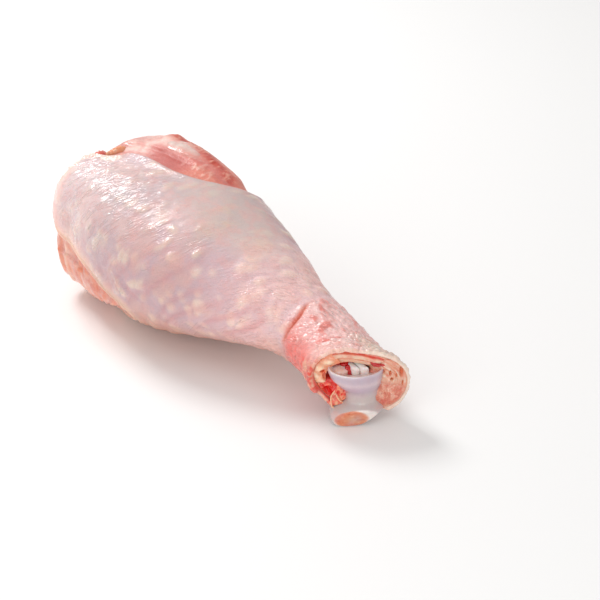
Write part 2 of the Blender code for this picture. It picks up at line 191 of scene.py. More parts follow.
def cell_pattern(points: Array, seed: int, jitter: float = 0.85) -> tuple[Array, Array]:
    """Cells about points that stray from even rows: distances to the nearest and the next.

    Args:
        points: places, (..., 3), one unit a cell.
        seed: which pattern.
        jitter: how far the cells' points stray, 0 to 1.

    Returns:
        Nearest distance and second distance.
    """
    base = np.floor(points).astype(np.int64)
    first = np.full(points.shape[:-1], 9.0)
    second = first.copy()
    for corner in itertools.product((-1, 0, 1), repeat=3):
        cell = base + np.array(corner)
        stray = np.stack([cell_random(cell, seed + k) for k in range(3)], axis=-1)
        gap = np.linalg.norm(cell + 0.5 + (stray - 0.5) * jitter - points, axis=-1)
        nearer = gap < first
        second = np.where(nearer, first, np.minimum(second, gap))
        first = np.where(nearer, gap, first)
    return first, second


def mounds(points: Array, seed: int, soft: float = 0.5) -> Array:
    """Mounds, one to a cell: 0 in the joints between cells, rising to 1 on top."""
    first, second = cell_pattern(points, seed)
    return ramp(0.0, soft, second - first)


def domes(points: Array, seed: int, reach: float = 0.42) -> Array:
    """Round bumps that stand apart, one to a cell: 1 on top, fading to 0 at about twice the reach."""
    return bump(cell_pattern(points, seed)[0], 0.0, reach)


def near_path(points: Array, path: Array) -> tuple[Array, Array]:
    """How far each place is from a path of straight steps, and how far along the path that is.

    Args:
        points: places, (..., 3).
        path: the path's points, (n, 3).

    Returns:
        Distance, and share of the path's length from 0 to 1.
    """
    best = np.full(points.shape[:-1], 1e9)
    share = np.zeros_like(best)
    steps = len(path) - 1
    for k in range(steps):
        along = path[k + 1] - path[k]
        s = np.clip(((points - path[k]) @ along) / (along @ along), 0.0, 1.0)
        gap = np.linalg.norm(points - path[k] - s[..., None] * along, axis=-1)
        share = np.where(gap < best, (k + s) / steps, share)
        best = np.minimum(best, gap)
    return best, share


def linear(colour: Array) -> Array:
    """Colours given out of 255, turned into linear light from 0 to 1."""
    share = np.clip(np.asarray(colour, float) / 255.0, 0.0, 1.0)
    return np.where(share < 0.04045, share / 12.92, ((share + 0.055) / 1.055) ** 2.4)


def even(colour: Colour, points: Array) -> Array:
    """One colour at every place."""
    return np.broadcast_to(np.asarray(colour, float), points.shape)


def blend(base: Array, colour: Colour | Array, share: Array) -> Array:
    """Paint a colour, or a second paint, over others by a share from 0 to 1."""
    share = np.clip(share, 0.0, 1.0)[..., None]
    return base * (1 - share) + np.asarray(colour, float) * share


def coats(base: Array, *layers: tuple[Colour, Array]) -> Array:
    """Paint several (colour, share) layers, one over another.

    Args:
        base: the colour underneath.
        layers: each layer's colour and its share.

    Returns:
        The painted colour.
    """
    for colour, share in layers:
        base = blend(base, colour, share)
    return base


def gloss(wet: Array, fine: Array | float) -> Array:
    """The mask that a finish reads: its wetness, and how strong its fine relief is."""
    return np.stack(np.broadcast_arrays(wet, fine), axis=-1)


def rounded_unit(c: Array, s: Array, square: Array) -> Array:
    """How far a soft-cornered square of power square reaches along each direction (c, s)."""
    return (np.abs(c) ** square + np.abs(s) ** square) ** (-1 / square)


def rounded_section(count: int, square: float) -> tuple[Array, Array]:
    """Points round a soft-cornered square: the unit circle pushed out to |c|^n + |s|^n = 1.

    Args:
        count: how many points.
        square: the power n; 2 is a circle.

    Returns:
        The two coordinates, each from -1 to 1.
    """
    around = circle_angles(count)
    c, s = np.cos(around), np.sin(around)
    unit = rounded_unit(c, s, square)
    return unit * c, unit * s


def circle_angles(count: int) -> Array:
    """Even angles round a circle."""
    return np.linspace(0.0, TURN, count, endpoint=False)


# ---------------- meshes


@dataclass
class Shell:
    """One closed surface: its points, faces and painted values.

    tint is a colour for each point. mask holds wetness and the strength of the fine relief. chart,
    where given, is each point's (distance along, angle round).
    """

    points: Array
    faces: list[Array]
    tint: Array
    mask: Array
    chart: Array | None = None

    @staticmethod
    def _quads(rows: int, columns: int, loop: bool) -> Array:
        """Quads between neighbouring rings, and from the last ring to the first in a loop.

        Args:
            rows: how many rings.
            columns: points in a ring.
            loop: whether the last ring joins the first.

        Returns:
            Corner indices, four a face.
        """
        i = np.arange(rows if loop else rows - 1)[:, None]
        j = np.arange(columns)[None, :]
        a, b, k = i * columns, (i + 1) % rows * columns, (j + 1) % columns
        return np.stack([a + j, a + k, b + k, b + j], axis=-1).reshape(-1, 4)

    @classmethod
    def tube(cls, points: Array, tint: Array, mask: Array) -> "Shell":
        """A surface of rings, each end closed by a fan about its ring's middle.

        Args:
            points: (rows, columns, 3).
            tint: the same shape.
            mask: (rows, columns, 2).

        Returns:
            The closed shell.
        """
        rows, columns = points.shape[:2]
        j = np.arange(columns)
        k = (j + 1) % columns
        first, end = rows * columns, (rows - 1) * columns
        fans = [
            np.stack([np.full(columns, first), k, j], axis=-1),
            np.stack([np.full(columns, first + 1), end + j, end + k], axis=-1),
        ]
        faces = [cls._quads(rows, columns, False), np.concatenate(fans)]
        poles = [
            np.concatenate([g.reshape(-1, g.shape[-1]), [g[0].mean(axis=0), g[-1].mean(axis=0)]])
            for g in (points, tint, mask)
        ]
        return cls(poles[0], faces, *poles[1:]).outward()

    @classmethod
    def band(cls, points: Array, tint: Array, mask: Array, chart: Array) -> "Shell":
        """A surface of rings whose last ring joins its first, as a hollow sleeve does.

        Args:
            points: (rows, columns, 3).
            tint: the same shape.
            mask: (rows, columns, 2).
            chart: (rows, columns, 2).

        Returns:
            The closed shell.
        """
        rows, columns = points.shape[:2]
        flat = [grid.reshape(rows * columns, -1) for grid in (points, tint, mask, chart)]
        return cls(flat[0], [cls._quads(rows, columns, True)], *flat[1:]).outward()

    def triangles(self) -> Array:
        """Every face as triangles.

        Returns:
            Corner indices, three a face.
        """
        quads = [f for f in self.faces if f.shape[1] == 4]
        split = [q[:, pick] for q in quads for pick in ([0, 1, 2], [0, 2, 3])]
        return np.concatenate(split + [f for f in self.faces if f.shape[1] == 3])

    def outward(self) -> "Shell":
        """Turn the faces round if the volume that they hold comes out negative.

        Returns:
            This shell, facing outwards.
        """
        if np.linalg.det(self.points[self.triangles()]).sum() < 0:
            self.faces = [f[:, ::-1] for f in self.faces]
        return self

    @staticmethod
    def joined(shells: list["Shell"]) -> "Shell":
        """Several shells without a chart as one.

        Args:
            shells: the shells to join.

        Returns:
            The joined shell.
        """
        starts = np.cumsum([0] + [len(s.points) for s in shells[:-1]])
        faces = [f + start for s, start in zip(shells, starts) for f in s.faces]
        grids = [np.concatenate([getattr(s, n) for s in shells]) for n in ("points", "tint", "mask")]
        return Shell(grids[0], faces, *grids[1:])

    def to_object(self, name: str, finish: "TissueFinish") -> bpy.types.Object:
        """A mesh object at the origin with its painted attributes, its place in its mesh.

        Args:
            name: the piece's name.
            finish: what it is made of.

        Returns:
            The object.
        """
        mesh = bpy.data.meshes.new(name)
        mesh.vertices.add(len(self.points))
        placed = (self.points - LEG_TO_ROW) * MM
        mesh.vertices.foreach_set("co", placed.astype(np.float32).ravel())
        corners = np.concatenate([f.ravel() for f in self.faces])
        sides = np.concatenate([np.full(len(f), f.shape[1]) for f in self.faces])
        mesh.loops.add(len(corners))
        mesh.loops.foreach_set("vertex_index", corners.astype(np.int32))
        mesh.polygons.add(len(sides))
        starts = np.concatenate([[0], np.cumsum(sides)[:-1]])
        mesh.polygons.foreach_set("loop_start", starts.astype(np.int32))
        mesh.polygons.foreach_set("use_smooth", np.ones(len(sides), bool))
        for label, values in (("tint", linear(self.tint)), ("mask", self.mask)):
            layer = mesh.attributes.new(label, "FLOAT_COLOR", "POINT")
            padded = np.ones((len(values), 4), np.float32)
            padded[:, : values.shape[1]] = values
            layer.data.foreach_set("color", padded.ravel())
        if self.chart is not None:
            self._write_chart(mesh, sides, corners)
        mesh.update(calc_edges=True)
        mesh.validate()
        mesh.materials.append(finish.material())
        thing = bpy.data.objects.new(name, mesh)
        bpy.context.scene.collection.objects.link(thing)
        return thing

    def _write_chart(self, mesh: bpy.types.Mesh, sides: Array, corners: Array) -> None:
        """Write the chart as a UV map, with no face stretched back across the seam.

        Args:
            mesh: the mesh.
            sides: how many corners each face has.
            corners: the point at each corner.
        """
        along, angle = self.chart[corners].T
        face = np.repeat(np.arange(len(sides)), sides)
        highest = np.full(len(sides), -9.0)
        np.maximum.at(highest, face, angle)
        angle = np.where(highest[face] - angle > math.pi, angle + TURN, angle)
        layer = mesh.uv_layers.new(name="chart")
        place = np.stack([along, angle * CHART_RADIUS], axis=-1)
        layer.data.foreach_set("uv", place.ravel() / CHART_UNIT)


# ---------------- the body that every layer follows


@dataclass(frozen=True)
class LegBody:
    """The leg's outer surface and the layers under it, in millimetres."""

    knee_x: float = 26.0
    knee_cap: float = 19.0
    knee_t: float = 0.16
    cap_squareness: float = 5.0
    section_x: tuple = (26, 42, 65, 90, 112, 132, 148, 164, 178, 190, 204)
    half_width: tuple = (38.5, 42, 43, 39.5, 32.5, 24.5, 18.5, 17.3, 17, 17, 17)
    rise: tuple = (33, 34, 33, 31, 28, 23, 18, 16, 15.2, 14.8, 14.8)
    drop: tuple = (36, 37.2, 35.6, 31, 24.4, 19, 16, 15.2, 16.2, 17.8, 17.8)
    centre_y: tuple = (2, 1, -1, -3, -2.5, -1.5, -1, -1.7, -3.5, -5.8, -6.5)
    centre_z: tuple = (35, 35.5, 35.5, 35, 33.5, 31.5, 29, 25.5, 22.5, 20.2, 19.6)
    squareness: tuple = (3.2, 2.75, 2.4, 2.2, 2.1, 2.05, 2, 2, 2.1, 2.2, 2.2)
    ridge_share: float = 0.128
    ridge_phi: float = math.radians(66)
    ridge_spread: float = math.radians(24)
    ridge_x: float = 50.0
    ridge_reach: float = 38.0
    ridge_rise: tuple = (10.0, 28.0)
    rim_x: float = 186.5
    rim_slant: float = 14.0
    rim_rise: float = 1.0
    rim_flare: float = 0.07
    flare_reach: float = 9.0
    heel_notch_t: float = 0.062
    heel_notch_phi: float = math.radians(274)
    heel_notch_spread: float = math.radians(31)
    skin_thick: float = 1.8
    lip_thick: float = 2.2
    layer_gap: float = 0.6
    bare_depth: float = 1.0
    edge_margin: float = math.radians(12)
    face_dish: float = 1.0
    skin_edge: tuple = (
        (10, 0.30), (25, 0.40), (37, 0.445), (53, 0.458), (63, 0.45), (70, 0.438), (77, 0.415),
        (82, 0.39), (86, 0.352), (88.5, 0.31), (89.7, 0.25), (90.7, 0.20), (93, 0.163), (104, 0.157),
        (109, 0.12), (114, 0.098), (122, 0.092), (150, 0.092), (168, 0.11), (181, 0.15), (190, 0.275),
        (197, 0.34), (203, 0.403), (212, 0.43), (222, 0.41), (236, 0.28), (250, 0.19), (275, 0.16),
        (315, 0.17), (335, 0.19), (355, 0.22),
    )  # fmt: skip

    def edge_t(self, phi: Array) -> Array:
        """The t at which the hide begins: a smooth curve through skin_edge, closed round the leg.

        Args:
            phi: angle round the leg.

        Returns:
            The edge's t.
        """
        knots = np.array(self.skin_edge, float)
        xs = np.concatenate([knots[-2:, 0] - 360, knots[:, 0], knots[:2, 0] + 360])
        ys = np.concatenate([knots[-2:, 1], knots[:, 1], knots[:2, 1]])
        return smooth_curve(xs, ys, np.degrees(phi) % 360)

    def end_t(self, phi: Array) -> Array:
        """The t at which the hide ends: the hock rim, notched underneath where the knuckle stands."""
        below = angle_from(phi, self.heel_notch_phi) / self.heel_notch_spread
        return 1.0 - self.heel_notch_t * np.exp(-(below**8))

    def rim(self, phi: Array) -> Array:
        """Where the oblique hock rim lies along the leg."""
        return self.rim_x + self.rim_slant * np.cos(phi) + self.rim_rise * np.sin(phi)

    def x_of(self, t: Array, phi: Array) -> Array:
        """Distance along the leg: a squarish cap over the knee, then straight to the rim.

        Args:
            t: share of the way along.
            phi: angle round the leg.

        Returns:
            Millimetres along the leg.
        """
        back = np.cos(np.clip(t / self.knee_t, 0, 1) * math.pi / 2) ** (2 / self.cap_squareness)
        along = self.knee_x + (t - self.knee_t) / (1 - self.knee_t) * (self.rim(phi) - self.knee_x)
        return np.where(t < self.knee_t, self.knee_x - self.knee_cap * back, along)

    def surface(self, t: Array, phi: Array) -> Array:
        """The outer surface: a superellipse section swept along X and capped over the knee.

        Args:
            t: share of the way from the knee's middle to the rim.
            phi: angle round the leg.

        Returns:
            Points, (..., 3).
        """
        t, phi = np.broadcast_arrays(np.asarray(t, float), np.asarray(phi, float))
        reach = np.sin(np.clip(t / self.knee_t, 0, 1) * math.pi / 2) ** (2 / self.cap_squareness)
        x = self.x_of(t, phi)
        stations = (self.half_width, self.rise, self.drop, self.centre_y, self.centre_z, self.squareness)
        at = np.maximum(x, self.knee_x)
        wide, rise, drop, mid_y, mid_z, square = (smooth_curve(self.section_x, s, at) for s in stations)
        c, s = np.cos(phi), np.sin(phi)
        unit = (np.abs(c) ** square + np.abs(s) ** square) ** (-1 / square)
        from_ridge = angle_from(phi, self.ridge_phi) / self.ridge_spread
        past_ridge = (x - self.ridge_x) / self.ridge_reach
        ridge = self.ridge_share * np.exp(-(from_ridge**2) - past_ridge**2) * ramp(*self.ridge_rise, x)
        flare = self.rim_flare * bump(self.rim(phi), x, self.flare_reach)
        radius = reach * unit * (1 + ridge) * (1 + flare)
        y = mid_y + radius * wide * c
        z = mid_z + radius * np.where(s > 0, rise, drop) * s
        return np.stack([x, y, z], axis=-1)

    def normal(self, t: Array, phi: Array) -> Array:
        """The outward direction: the cross product of a step round the leg and a step along it.

        Args:
            t: share of the way along.
            phi: angle round the leg.

        Returns:
            Unit vectors.
        """
        dt, dphi, least = 0.004, 0.01, 0.0005
        t = np.maximum(t, least)
        ahead, behind = (self.surface(np.clip(t + step, least, 1), phi) for step in (dt, -dt))
        along = ahead - behind
        around = self.surface(t, phi + dphi) - self.surface(t, phi - dphi)
        out = np.cross(around, along)
        return out / (np.linalg.norm(out, axis=-1, keepdims=True) + 1e-12)

    def layer(self, t: Array, phi: Array, depth: Array) -> Array:
        """The surface sunk by depth along its normal, and kept that far above the floor.

        Args:
            t: share of the way along.
            phi: angle round the leg.
            depth: millimetres inwards; negative stands proud.

        Returns:
            Points, (..., 3).
        """
        t, phi, depth = np.broadcast_arrays(np.asarray(t, float), np.asarray(phi, float), depth)
        points = self.surface(t, phi) + self.normal(t, phi) * -depth[..., None]
        points[..., 2] = np.maximum(points[..., 2], np.maximum(depth, 0.0))
        return points

    def skin_depth(self, t: Array) -> Array:
        """The hide's thickness, which grows to a fatty lip at the hock."""
        return self.skin_thick + (self.lip_thick - self.skin_thick) * ramp(0.88, 1.0, t)

    def meat_depth(self, t: Array, phi: Array) -> Array:
        """How deep the meat lies: just under the hide, and bare beyond the hide's edge.

        Args:
            t: share of the way along.
            phi: angle round the leg.

        Returns:
            Depth in mm.
        """
        covered = self.skin_depth(t) + self.layer_gap
        sides = [self.edge_t(phi + turn) for turn in (-self.edge_margin, 0.0, self.edge_margin)]
        bare = ramp(0.012, 0.055, np.minimum.reduce(sides) - t)
        dish = self.face_dish * (1 - ramp(0.0, 0.03, t))
        knee = ramp(0.0, 0.03, t) * (1 - ramp(0.05, 0.14, t))
        lobes = 0.55 * (1 + np.cos(3 * phi - 0.6)) * knee
        return covered + (self.bare_depth + dish + lobes - covered) * bare

    def in_hock(self, t: Array, phi: Array, share: Array) -> Array:
        """A place in the hock: a share of the way from the leg's middle line to the hide's inside.

        Args:
            t: share of the way along.
            phi: angle round the leg.
            share: 0 on the middle line, 1 at the hide.

        Returns:
            The places.
        """
        wall = self.layer(t, phi, self.skin_depth(t) + self.layer_gap)
        x = self.knee_x + (t - self.knee_t) / (1 - self.knee_t) * (self.rim_x - self.knee_x)
        mid_y = smooth_curve(self.section_x, self.centre_y, x)
        mid_z = smooth_curve(self.section_x, self.centre_z, x)
        middle = np.stack(np.broadcast_arrays(x, mid_y, mid_z), axis=-1)
        return middle + np.asarray(share)[..., None] * (wall - middle)

    def columns(self, count: int, fine_share: float, edge_share: float) -> Array:
        """Angles for the columns: closer on the near side and where the hide's edge runs lengthwise.

        Args:
            count: how many columns.
            fine_share: how much closer on the near side.
            edge_share: how much closer for each unit that the edge climbs.

        Returns:
            The angles, rising from 0.
        """
        fine = np.linspace(0.0, TURN, 2881)
        near = 1 + fine_share * ramp(math.radians(95), math.radians(55), np.abs(angle_from(fine, 2.5)))
        climb = np.abs(np.gradient(self.edge_t(fine), fine)) * edge_share
        density = near + climb
        spread = np.concatenate([[0.0], np.cumsum((density[1:] + density[:-1]) / 2)])
        return np.interp(np.arange(count) / count * spread[-1], spread, fine)


@dataclass(frozen=True)
class HockFrame:
    """The hock's own frame: its middle, and the directions out of the cut, across it and up it."""

    middle: Array
    out: Array
    across: Array

    @property
    def up(self) -> Array:
        """The direction up the cut."""
        return np.cross(self.out, self.across)

    def place(self, across: Array, out: Array, up: Array) -> Array:
        """Points from distances across, out of and up the cut."""
        across, out, up = (grid[..., None] for grid in np.broadcast_arrays(across, out, up))
        return self.middle + across * self.across + out * self.out + up * self.up

    def read(self, points: Array) -> tuple[Array, Array, Array]:
        """Distances across, out of and up the cut, from points."""
        gap = points - self.middle
        return gap @ self.across, gap @ self.out, gap @ self.up


BODY = LegBody()
NOTCH_SIDE = tuple((t, degrees) for degrees, t in reversed(BODY.skin_edge) if 53 <= degrees <= 93)
HOCK = HockFrame(
    middle=np.array([186.5, -6.0, 20.0]),
    out=np.array([0.7819, -0.6216, -0.0469]),
    across=np.array([0.6223, 0.7828, 0.0]),
)


def spot(a: Array, b: Array, middle: tuple, size: tuple, power: float = 1.0) -> Array:
    """An oval patch: exp of minus the squared oval distance raised to a power.

    Args:
        a: first coordinate.
        b: second coordinate.
        middle: where the oval's middle is.
        size: its two half sizes.
        power: 1 is a soft bell, more is a flat top with a firmer edge.

    Returns:
        Values from 0 to 1.
    """
    gap = ((a - middle[0]) / size[0]) ** 2 + ((b - middle[1]) / size[1]) ** 2
    return np.exp(-(gap**power))


# ---------------- finishes


class ReliefMap(Enum):
    """Where a tissue's fine relief is laid: on the object's axes, or on the hide's unrolled chart."""

    AXES = "axes"
    CHART = "chart"


@dataclass
class Graph:
    """A node tree, with short ways to add the kinds of node that the tissues use."""

    tree: bpy.types.NodeTree

    def put(self, value: object, socket: Socket) -> None:
        """Link an output to an input, or set the input to a plain value.

        Args:
            value: an output or a plain value.
            socket: the input.
        """
        if isinstance(value, Socket):
            self.tree.links.new(value, socket)
        else:
            socket.default_value = value

    def node(self, kind: str, inputs: dict, **settings: object) -> bpy.types.Node:
        """A node with its inputs linked or set.

        Args:
            kind: the node type's name after ShaderNode.
            inputs: a value or an output for each input, by name or number.
            settings: the node's own properties.

        Returns:
            The node.
        """
        made = self.tree.nodes.new("ShaderNode" + kind)
        for name, value in settings.items():
            setattr(made, name, value)
        for key, value in inputs.items():
            self.put(value, made.inputs[key])
        return made

    def math(self, operation: str, *values: object) -> Socket:
        """A sum, product or other operation on outputs or numbers."""
        return self.node("Math", dict(enumerate(values)), operation=operation).outputs[0]

    def mix(self, share: Socket, a: Socket, b: Socket) -> Socket:
        """Two colours mixed by a share."""
        return self.node("Mix", {0: share, 6: a, 7: b}, data_type="RGBA").outputs[2]

    def stretch(self, value: Socket, low: float, high: float, to_low: float, to_high: float) -> Socket:
        """A value mapped smoothly from one range to another."""
        ends = {"From Min": low, "From Max": high, "To Min": to_low, "To Max": to_high}
        return self.node("MapRange", {"Value": value} | ends, interpolation_type="SMOOTHSTEP").outputs[0]

    def own_axes(self) -> Socket:
        """Places on the object's own axes."""
        return self.node("TexCoord", {}).outputs["Object"]

    def noise(self, vector: Socket, detail: float, rough: float = 0.55, twist: float = 0.0) -> Socket:
        """Noise of one unit a feature, read at a vector."""
        inputs = {"Vector": vector, "Scale": 1.0, "Detail": detail, "Roughness": rough}
        return self.node("TexNoise", inputs | {"Distortion": twist}).outputs[0]

    def sized(self, size: Socket, unit: float) -> Socket:
        """Places on the object's axes divided by a size, given in steps of unit metres.

        Args:
            size: how large a feature is.
            unit: the length of one step, in metres.

        Returns:
            The divided places.
        """
        scale = self.math("DIVIDE", 1.0 / unit, size)
        inputs = {0: self.own_axes(), "Scale": scale}
        return self.node("VectorMath", inputs, operation="SCALE").outputs[0]

    def from_half(self, value: Socket) -> Socket:
        """How far a value is from a half."""
        return self.math("ABSOLUTE", self.math("SUBTRACT", value, 0.5))

    def painted(self, label: str) -> Socket:
        """A painted attribute's colour."""
        return self.node("Attribute", {}, attribute_name=label).outputs["Color"]


@dataclass(frozen=True)
class Effect:
    """A shader group that the tissues share: its sockets by kind, and what wires its nodes."""

    name: str
    inputs: dict[str, tuple]
    outputs: dict[str, tuple]
    wire: Callable

    def tree(self) -> bpy.types.NodeTree:
        """The group, made once.

        Returns:
            The group's tree.
        """
        if self.name in bpy.data.node_groups:
            return bpy.data.node_groups[self.name]
        made = bpy.data.node_groups.new(self.name, "ShaderNodeTree")
        start, end = (made.nodes.new(kind) for kind in ("NodeGroupInput", "NodeGroupOutput"))
        for side, sockets in (("INPUT", self.inputs), ("OUTPUT", self.outputs)):
            for kind, labels in sockets.items():
                for label in labels:
                    made.interface.new_socket(label, in_out=side, socket_type="NodeSocket" + kind)
        for source, socket in zip(self.wire(Graph(made), start.outputs), end.inputs):
            made.links.new(source, socket)
        return made


def wire_mottle(graph: Graph, start: dict) -> list[Socket]:
    """Blotches of a deeper colour, a fine grain of light and dark, and thin veins, over a tint.

    Args:
        graph: the group's nodes.
        start: the group's inputs.

    Returns:
        The colour.
    """
    blotch = graph.noise(graph.sized(start["Blotch Size"], MM), 3.0)
    share = graph.math("MULTIPLY", graph.stretch(blotch, 0.42, 0.68, 0.0, 1.0), start["Blotch"])
    blotched = graph.mix(share, start["Tint"], start["Deep"])
    lines = graph.noise(graph.sized(start["Blotch Size"], MM * 1.7), 2.0, 0.4, 1.2)
    vein = graph.stretch(graph.from_half(lines), 0.0, 0.022, 1.0, 0.0)
    veined = graph.mix(graph.math("MULTIPLY", vein, start["Vein Share"]), blotched, start["Vein"])
    grain = graph.noise(graph.sized(start["Grain Size"], MM), 3.0)
    grain = graph.math("MULTIPLY", graph.stretch(grain, 0.25, 0.75, -1.0, 1.0), start["Grain"])
    lit = graph.node("HueSaturation", {"Color": veined, "Value": graph.math("ADD", grain, 1.0)})
    return [lit.outputs[0]]


def wire_wet_film(graph: Graph, start: dict) -> list[Socket]:
    """Wetness in patches: a roughness that falls and a coat that grows where the film lies.

    Args:
        graph: the group's nodes.
        start: the group's inputs.

    Returns:
        Roughness and coat.
    """
    patches = graph.noise(graph.sized(start["Patch Size"], MM), 2.5)
    film = graph.math("MULTIPLY", graph.stretch(patches, 0.3, 0.6, 0.45, 1.0), start["Wetness"])
    gap = graph.math("SUBTRACT", start["Wet Roughness"], start["Dry Roughness"])
    return [graph.math("ADD", start["Dry Roughness"], graph.math("MULTIPLY", gap, film)), film]


def wire_fine_relief(graph: Graph, start: dict) -> list[Socket]:
    """Fine relief drawn out one way: noise read along a leaning direction, longer than it is wide.

    Args:
        graph: the group's nodes.
        start: the group's inputs.

    Returns:
        The height.
    """
    place = {"Vector": start["Vector"], "Rotation": start["Lean"], "Scale": start["Size"]}
    turned = graph.node("Mapping", {}, vector_type="TEXTURE")
    for name, source in place.items():
        graph.put(source, turned.inputs[name])
    broad = graph.noise(turned.outputs[0], 1.6, 0.5, 0.5)
    ridge = graph.stretch(graph.from_half(broad), 0.0, 0.16, 0.0, 1.0)
    mixed = graph.math("ADD", graph.math("MULTIPLY", ridge, 0.5), broad)
    return [graph.math("MULTIPLY", mixed, start["Strength"])]


MOTTLE = Effect(
    "Tissue mottle",
    {
        "Color": ("Tint", "Deep", "Vein"),
        "Float": ("Blotch Size", "Blotch", "Grain Size", "Grain", "Vein Share"),
    },
    {"Color": ("Color",)},
    wire_mottle,
)
WET_FILM = Effect(
    "Wet film",
    {"Float": ("Wetness", "Dry Roughness", "Wet Roughness", "Patch Size")},
    {"Float": ("Roughness", "Coat")},
    wire_wet_film,
)
FINE_RELIEF = Effect(
    "Fine relief",
    {"Vector": ("Vector", "Lean", "Size"), "Float": ("Strength",)},
    {"Float": ("Height",)},
    wire_fine_relief,
)


@dataclass(frozen=True)
class TissueFinish:
    """The look of one kind of raw tissue: its wet gloss, its blotches and its fine relief."""

    name: str
    deep: Colour
    vein: Colour
    blotches: tuple[float, float]  # size in mm, and share
    grain: tuple[float, float]  # size in mm, and strength
    vein_share: float
    rough: tuple[float, float, float]  # of the dry surface, the wet one and the film on it
    relief: float
    relief_size: tuple[float, float, float]
    glow: tuple[float, float]  # share, and reach in mm
    lean: tuple[float, float, float] = (0.0, 0.0, 0.0)
    relief_map: ReliefMap = ReliefMap.AXES
    patch_size: float = 3.0
    glow_colour: tuple[float, float, float] = (1.0, 0.42, 0.3)
    ior: float = 1.45
    coat_ior: float = 1.5

    def material(self) -> bpy.types.Material:
        """Painted tint and mask, through the shared groups, into one Principled surface.

        Returns:
            The material, made once and reused.
        """
        if self.name in bpy.data.materials:
            return bpy.data.materials[self.name]
        made = bpy.data.materials.new(self.name)
        made.use_nodes = True
        graph = Graph(made.node_tree)
        mask = graph.node("SeparateColor", {0: graph.painted("mask")}).outputs
        mottle = self._group(graph, MOTTLE, {
            "Tint": graph.painted("tint"), "Deep": (*linear(self.deep), 1),
            "Vein": (*linear(self.vein), 1), "Blotch Size": self.blotches[0], "Blotch": self.blotches[1],
            "Grain Size": self.grain[0], "Grain": self.grain[1], "Vein Share": self.vein_share,
        })  # fmt: skip
        dry, wet, coat = self.rough
        film = self._group(graph, WET_FILM, {
            "Wetness": mask[0], "Dry Roughness": dry, "Wet Roughness": wet,
            "Patch Size": self.patch_size,
        })  # fmt: skip
        dent = self._dent(graph, mask[1])
        surface = {
            "Base Color": mottle[0], "Roughness": film["Roughness"], "Coat Weight": film["Coat"],
            "IOR": self.ior, "Coat Roughness": coat, "Coat IOR": self.coat_ior,
            "Subsurface Weight": self.glow[0], "Subsurface Radius": self.glow_colour,
            "Subsurface Scale": self.glow[1] * MM, "Normal": dent, "Coat Normal": dent,
        }  # fmt: skip
        for name, value in surface.items():
            graph.put(value, made.node_tree.nodes["Principled BSDF"].inputs[name])
        return made

    @staticmethod
    def _group(graph: Graph, effect: Effect, inputs: dict) -> dict:
        """A shared effect with its own values; gives its outputs.

        Args:
            graph: the material's nodes.
            effect: which effect.
            inputs: its values, by name.

        Returns:
            Its outputs, by name.
        """
        made = graph.node("Group", {}, node_tree=effect.tree())
        for name, value in inputs.items():
            graph.put(value, made.inputs[name])
        return made.outputs

    def _dent(self, graph: Graph, strength: Socket) -> Socket:
        """Fine relief as bump, laid on the chart or on the object's own axes.

        Args:
            graph: the material's nodes.
            strength: how strong it is at each place.

        Returns:
            The bent normal.
        """
        where, unit = graph.own_axes(), MM
        if self.relief_map is ReliefMap.CHART:
            where, unit = graph.node("UVMap", {}, uv_map="chart").outputs[0], 1 / CHART_UNIT
        size = [s * unit for s in self.relief_size]
        inputs = {"Vector": where, "Lean": self.lean, "Size": size, "Strength": strength}
        height = self._group(graph, FINE_RELIEF, inputs)[0]
        dent = {"Height": height, "Distance": self.relief * MM, "Strength": 1.0}
        return graph.node("Bump", dent).outputs[0]


# ---------------- the hide


@dataclass(frozen=True)
class Crease:
    """A long crease in the hide: its path as (t, degrees), and how wide, deep and red it is."""

    path: tuple
    width: float = 1.3
    depth: float = 0.4
    redness: float = 0.25
    samples: int = 22

    def field(self, points: Array) -> Array:
        """How strongly each place lies in the crease: a bell across it that fades at both ends.

        Args:
            points: places on the leg.

        Returns:
            Strength from 0 to 1.
        """
        knots = np.array(self.path, float)
        at = np.linspace(0, len(knots) - 1, self.samples)
        stations = np.arange(len(knots))
        t = smooth_curve(stations, knots[:, 0], at)
        phi = np.radians(smooth_curve(stations, knots[:, 1], at))
        gap, share = near_path(points, BODY.surface(t, phi))
        return bump(gap, 0.0, self.width) * np.sin(math.pi * np.clip(share, 0.02, 0.98)) ** 0.5


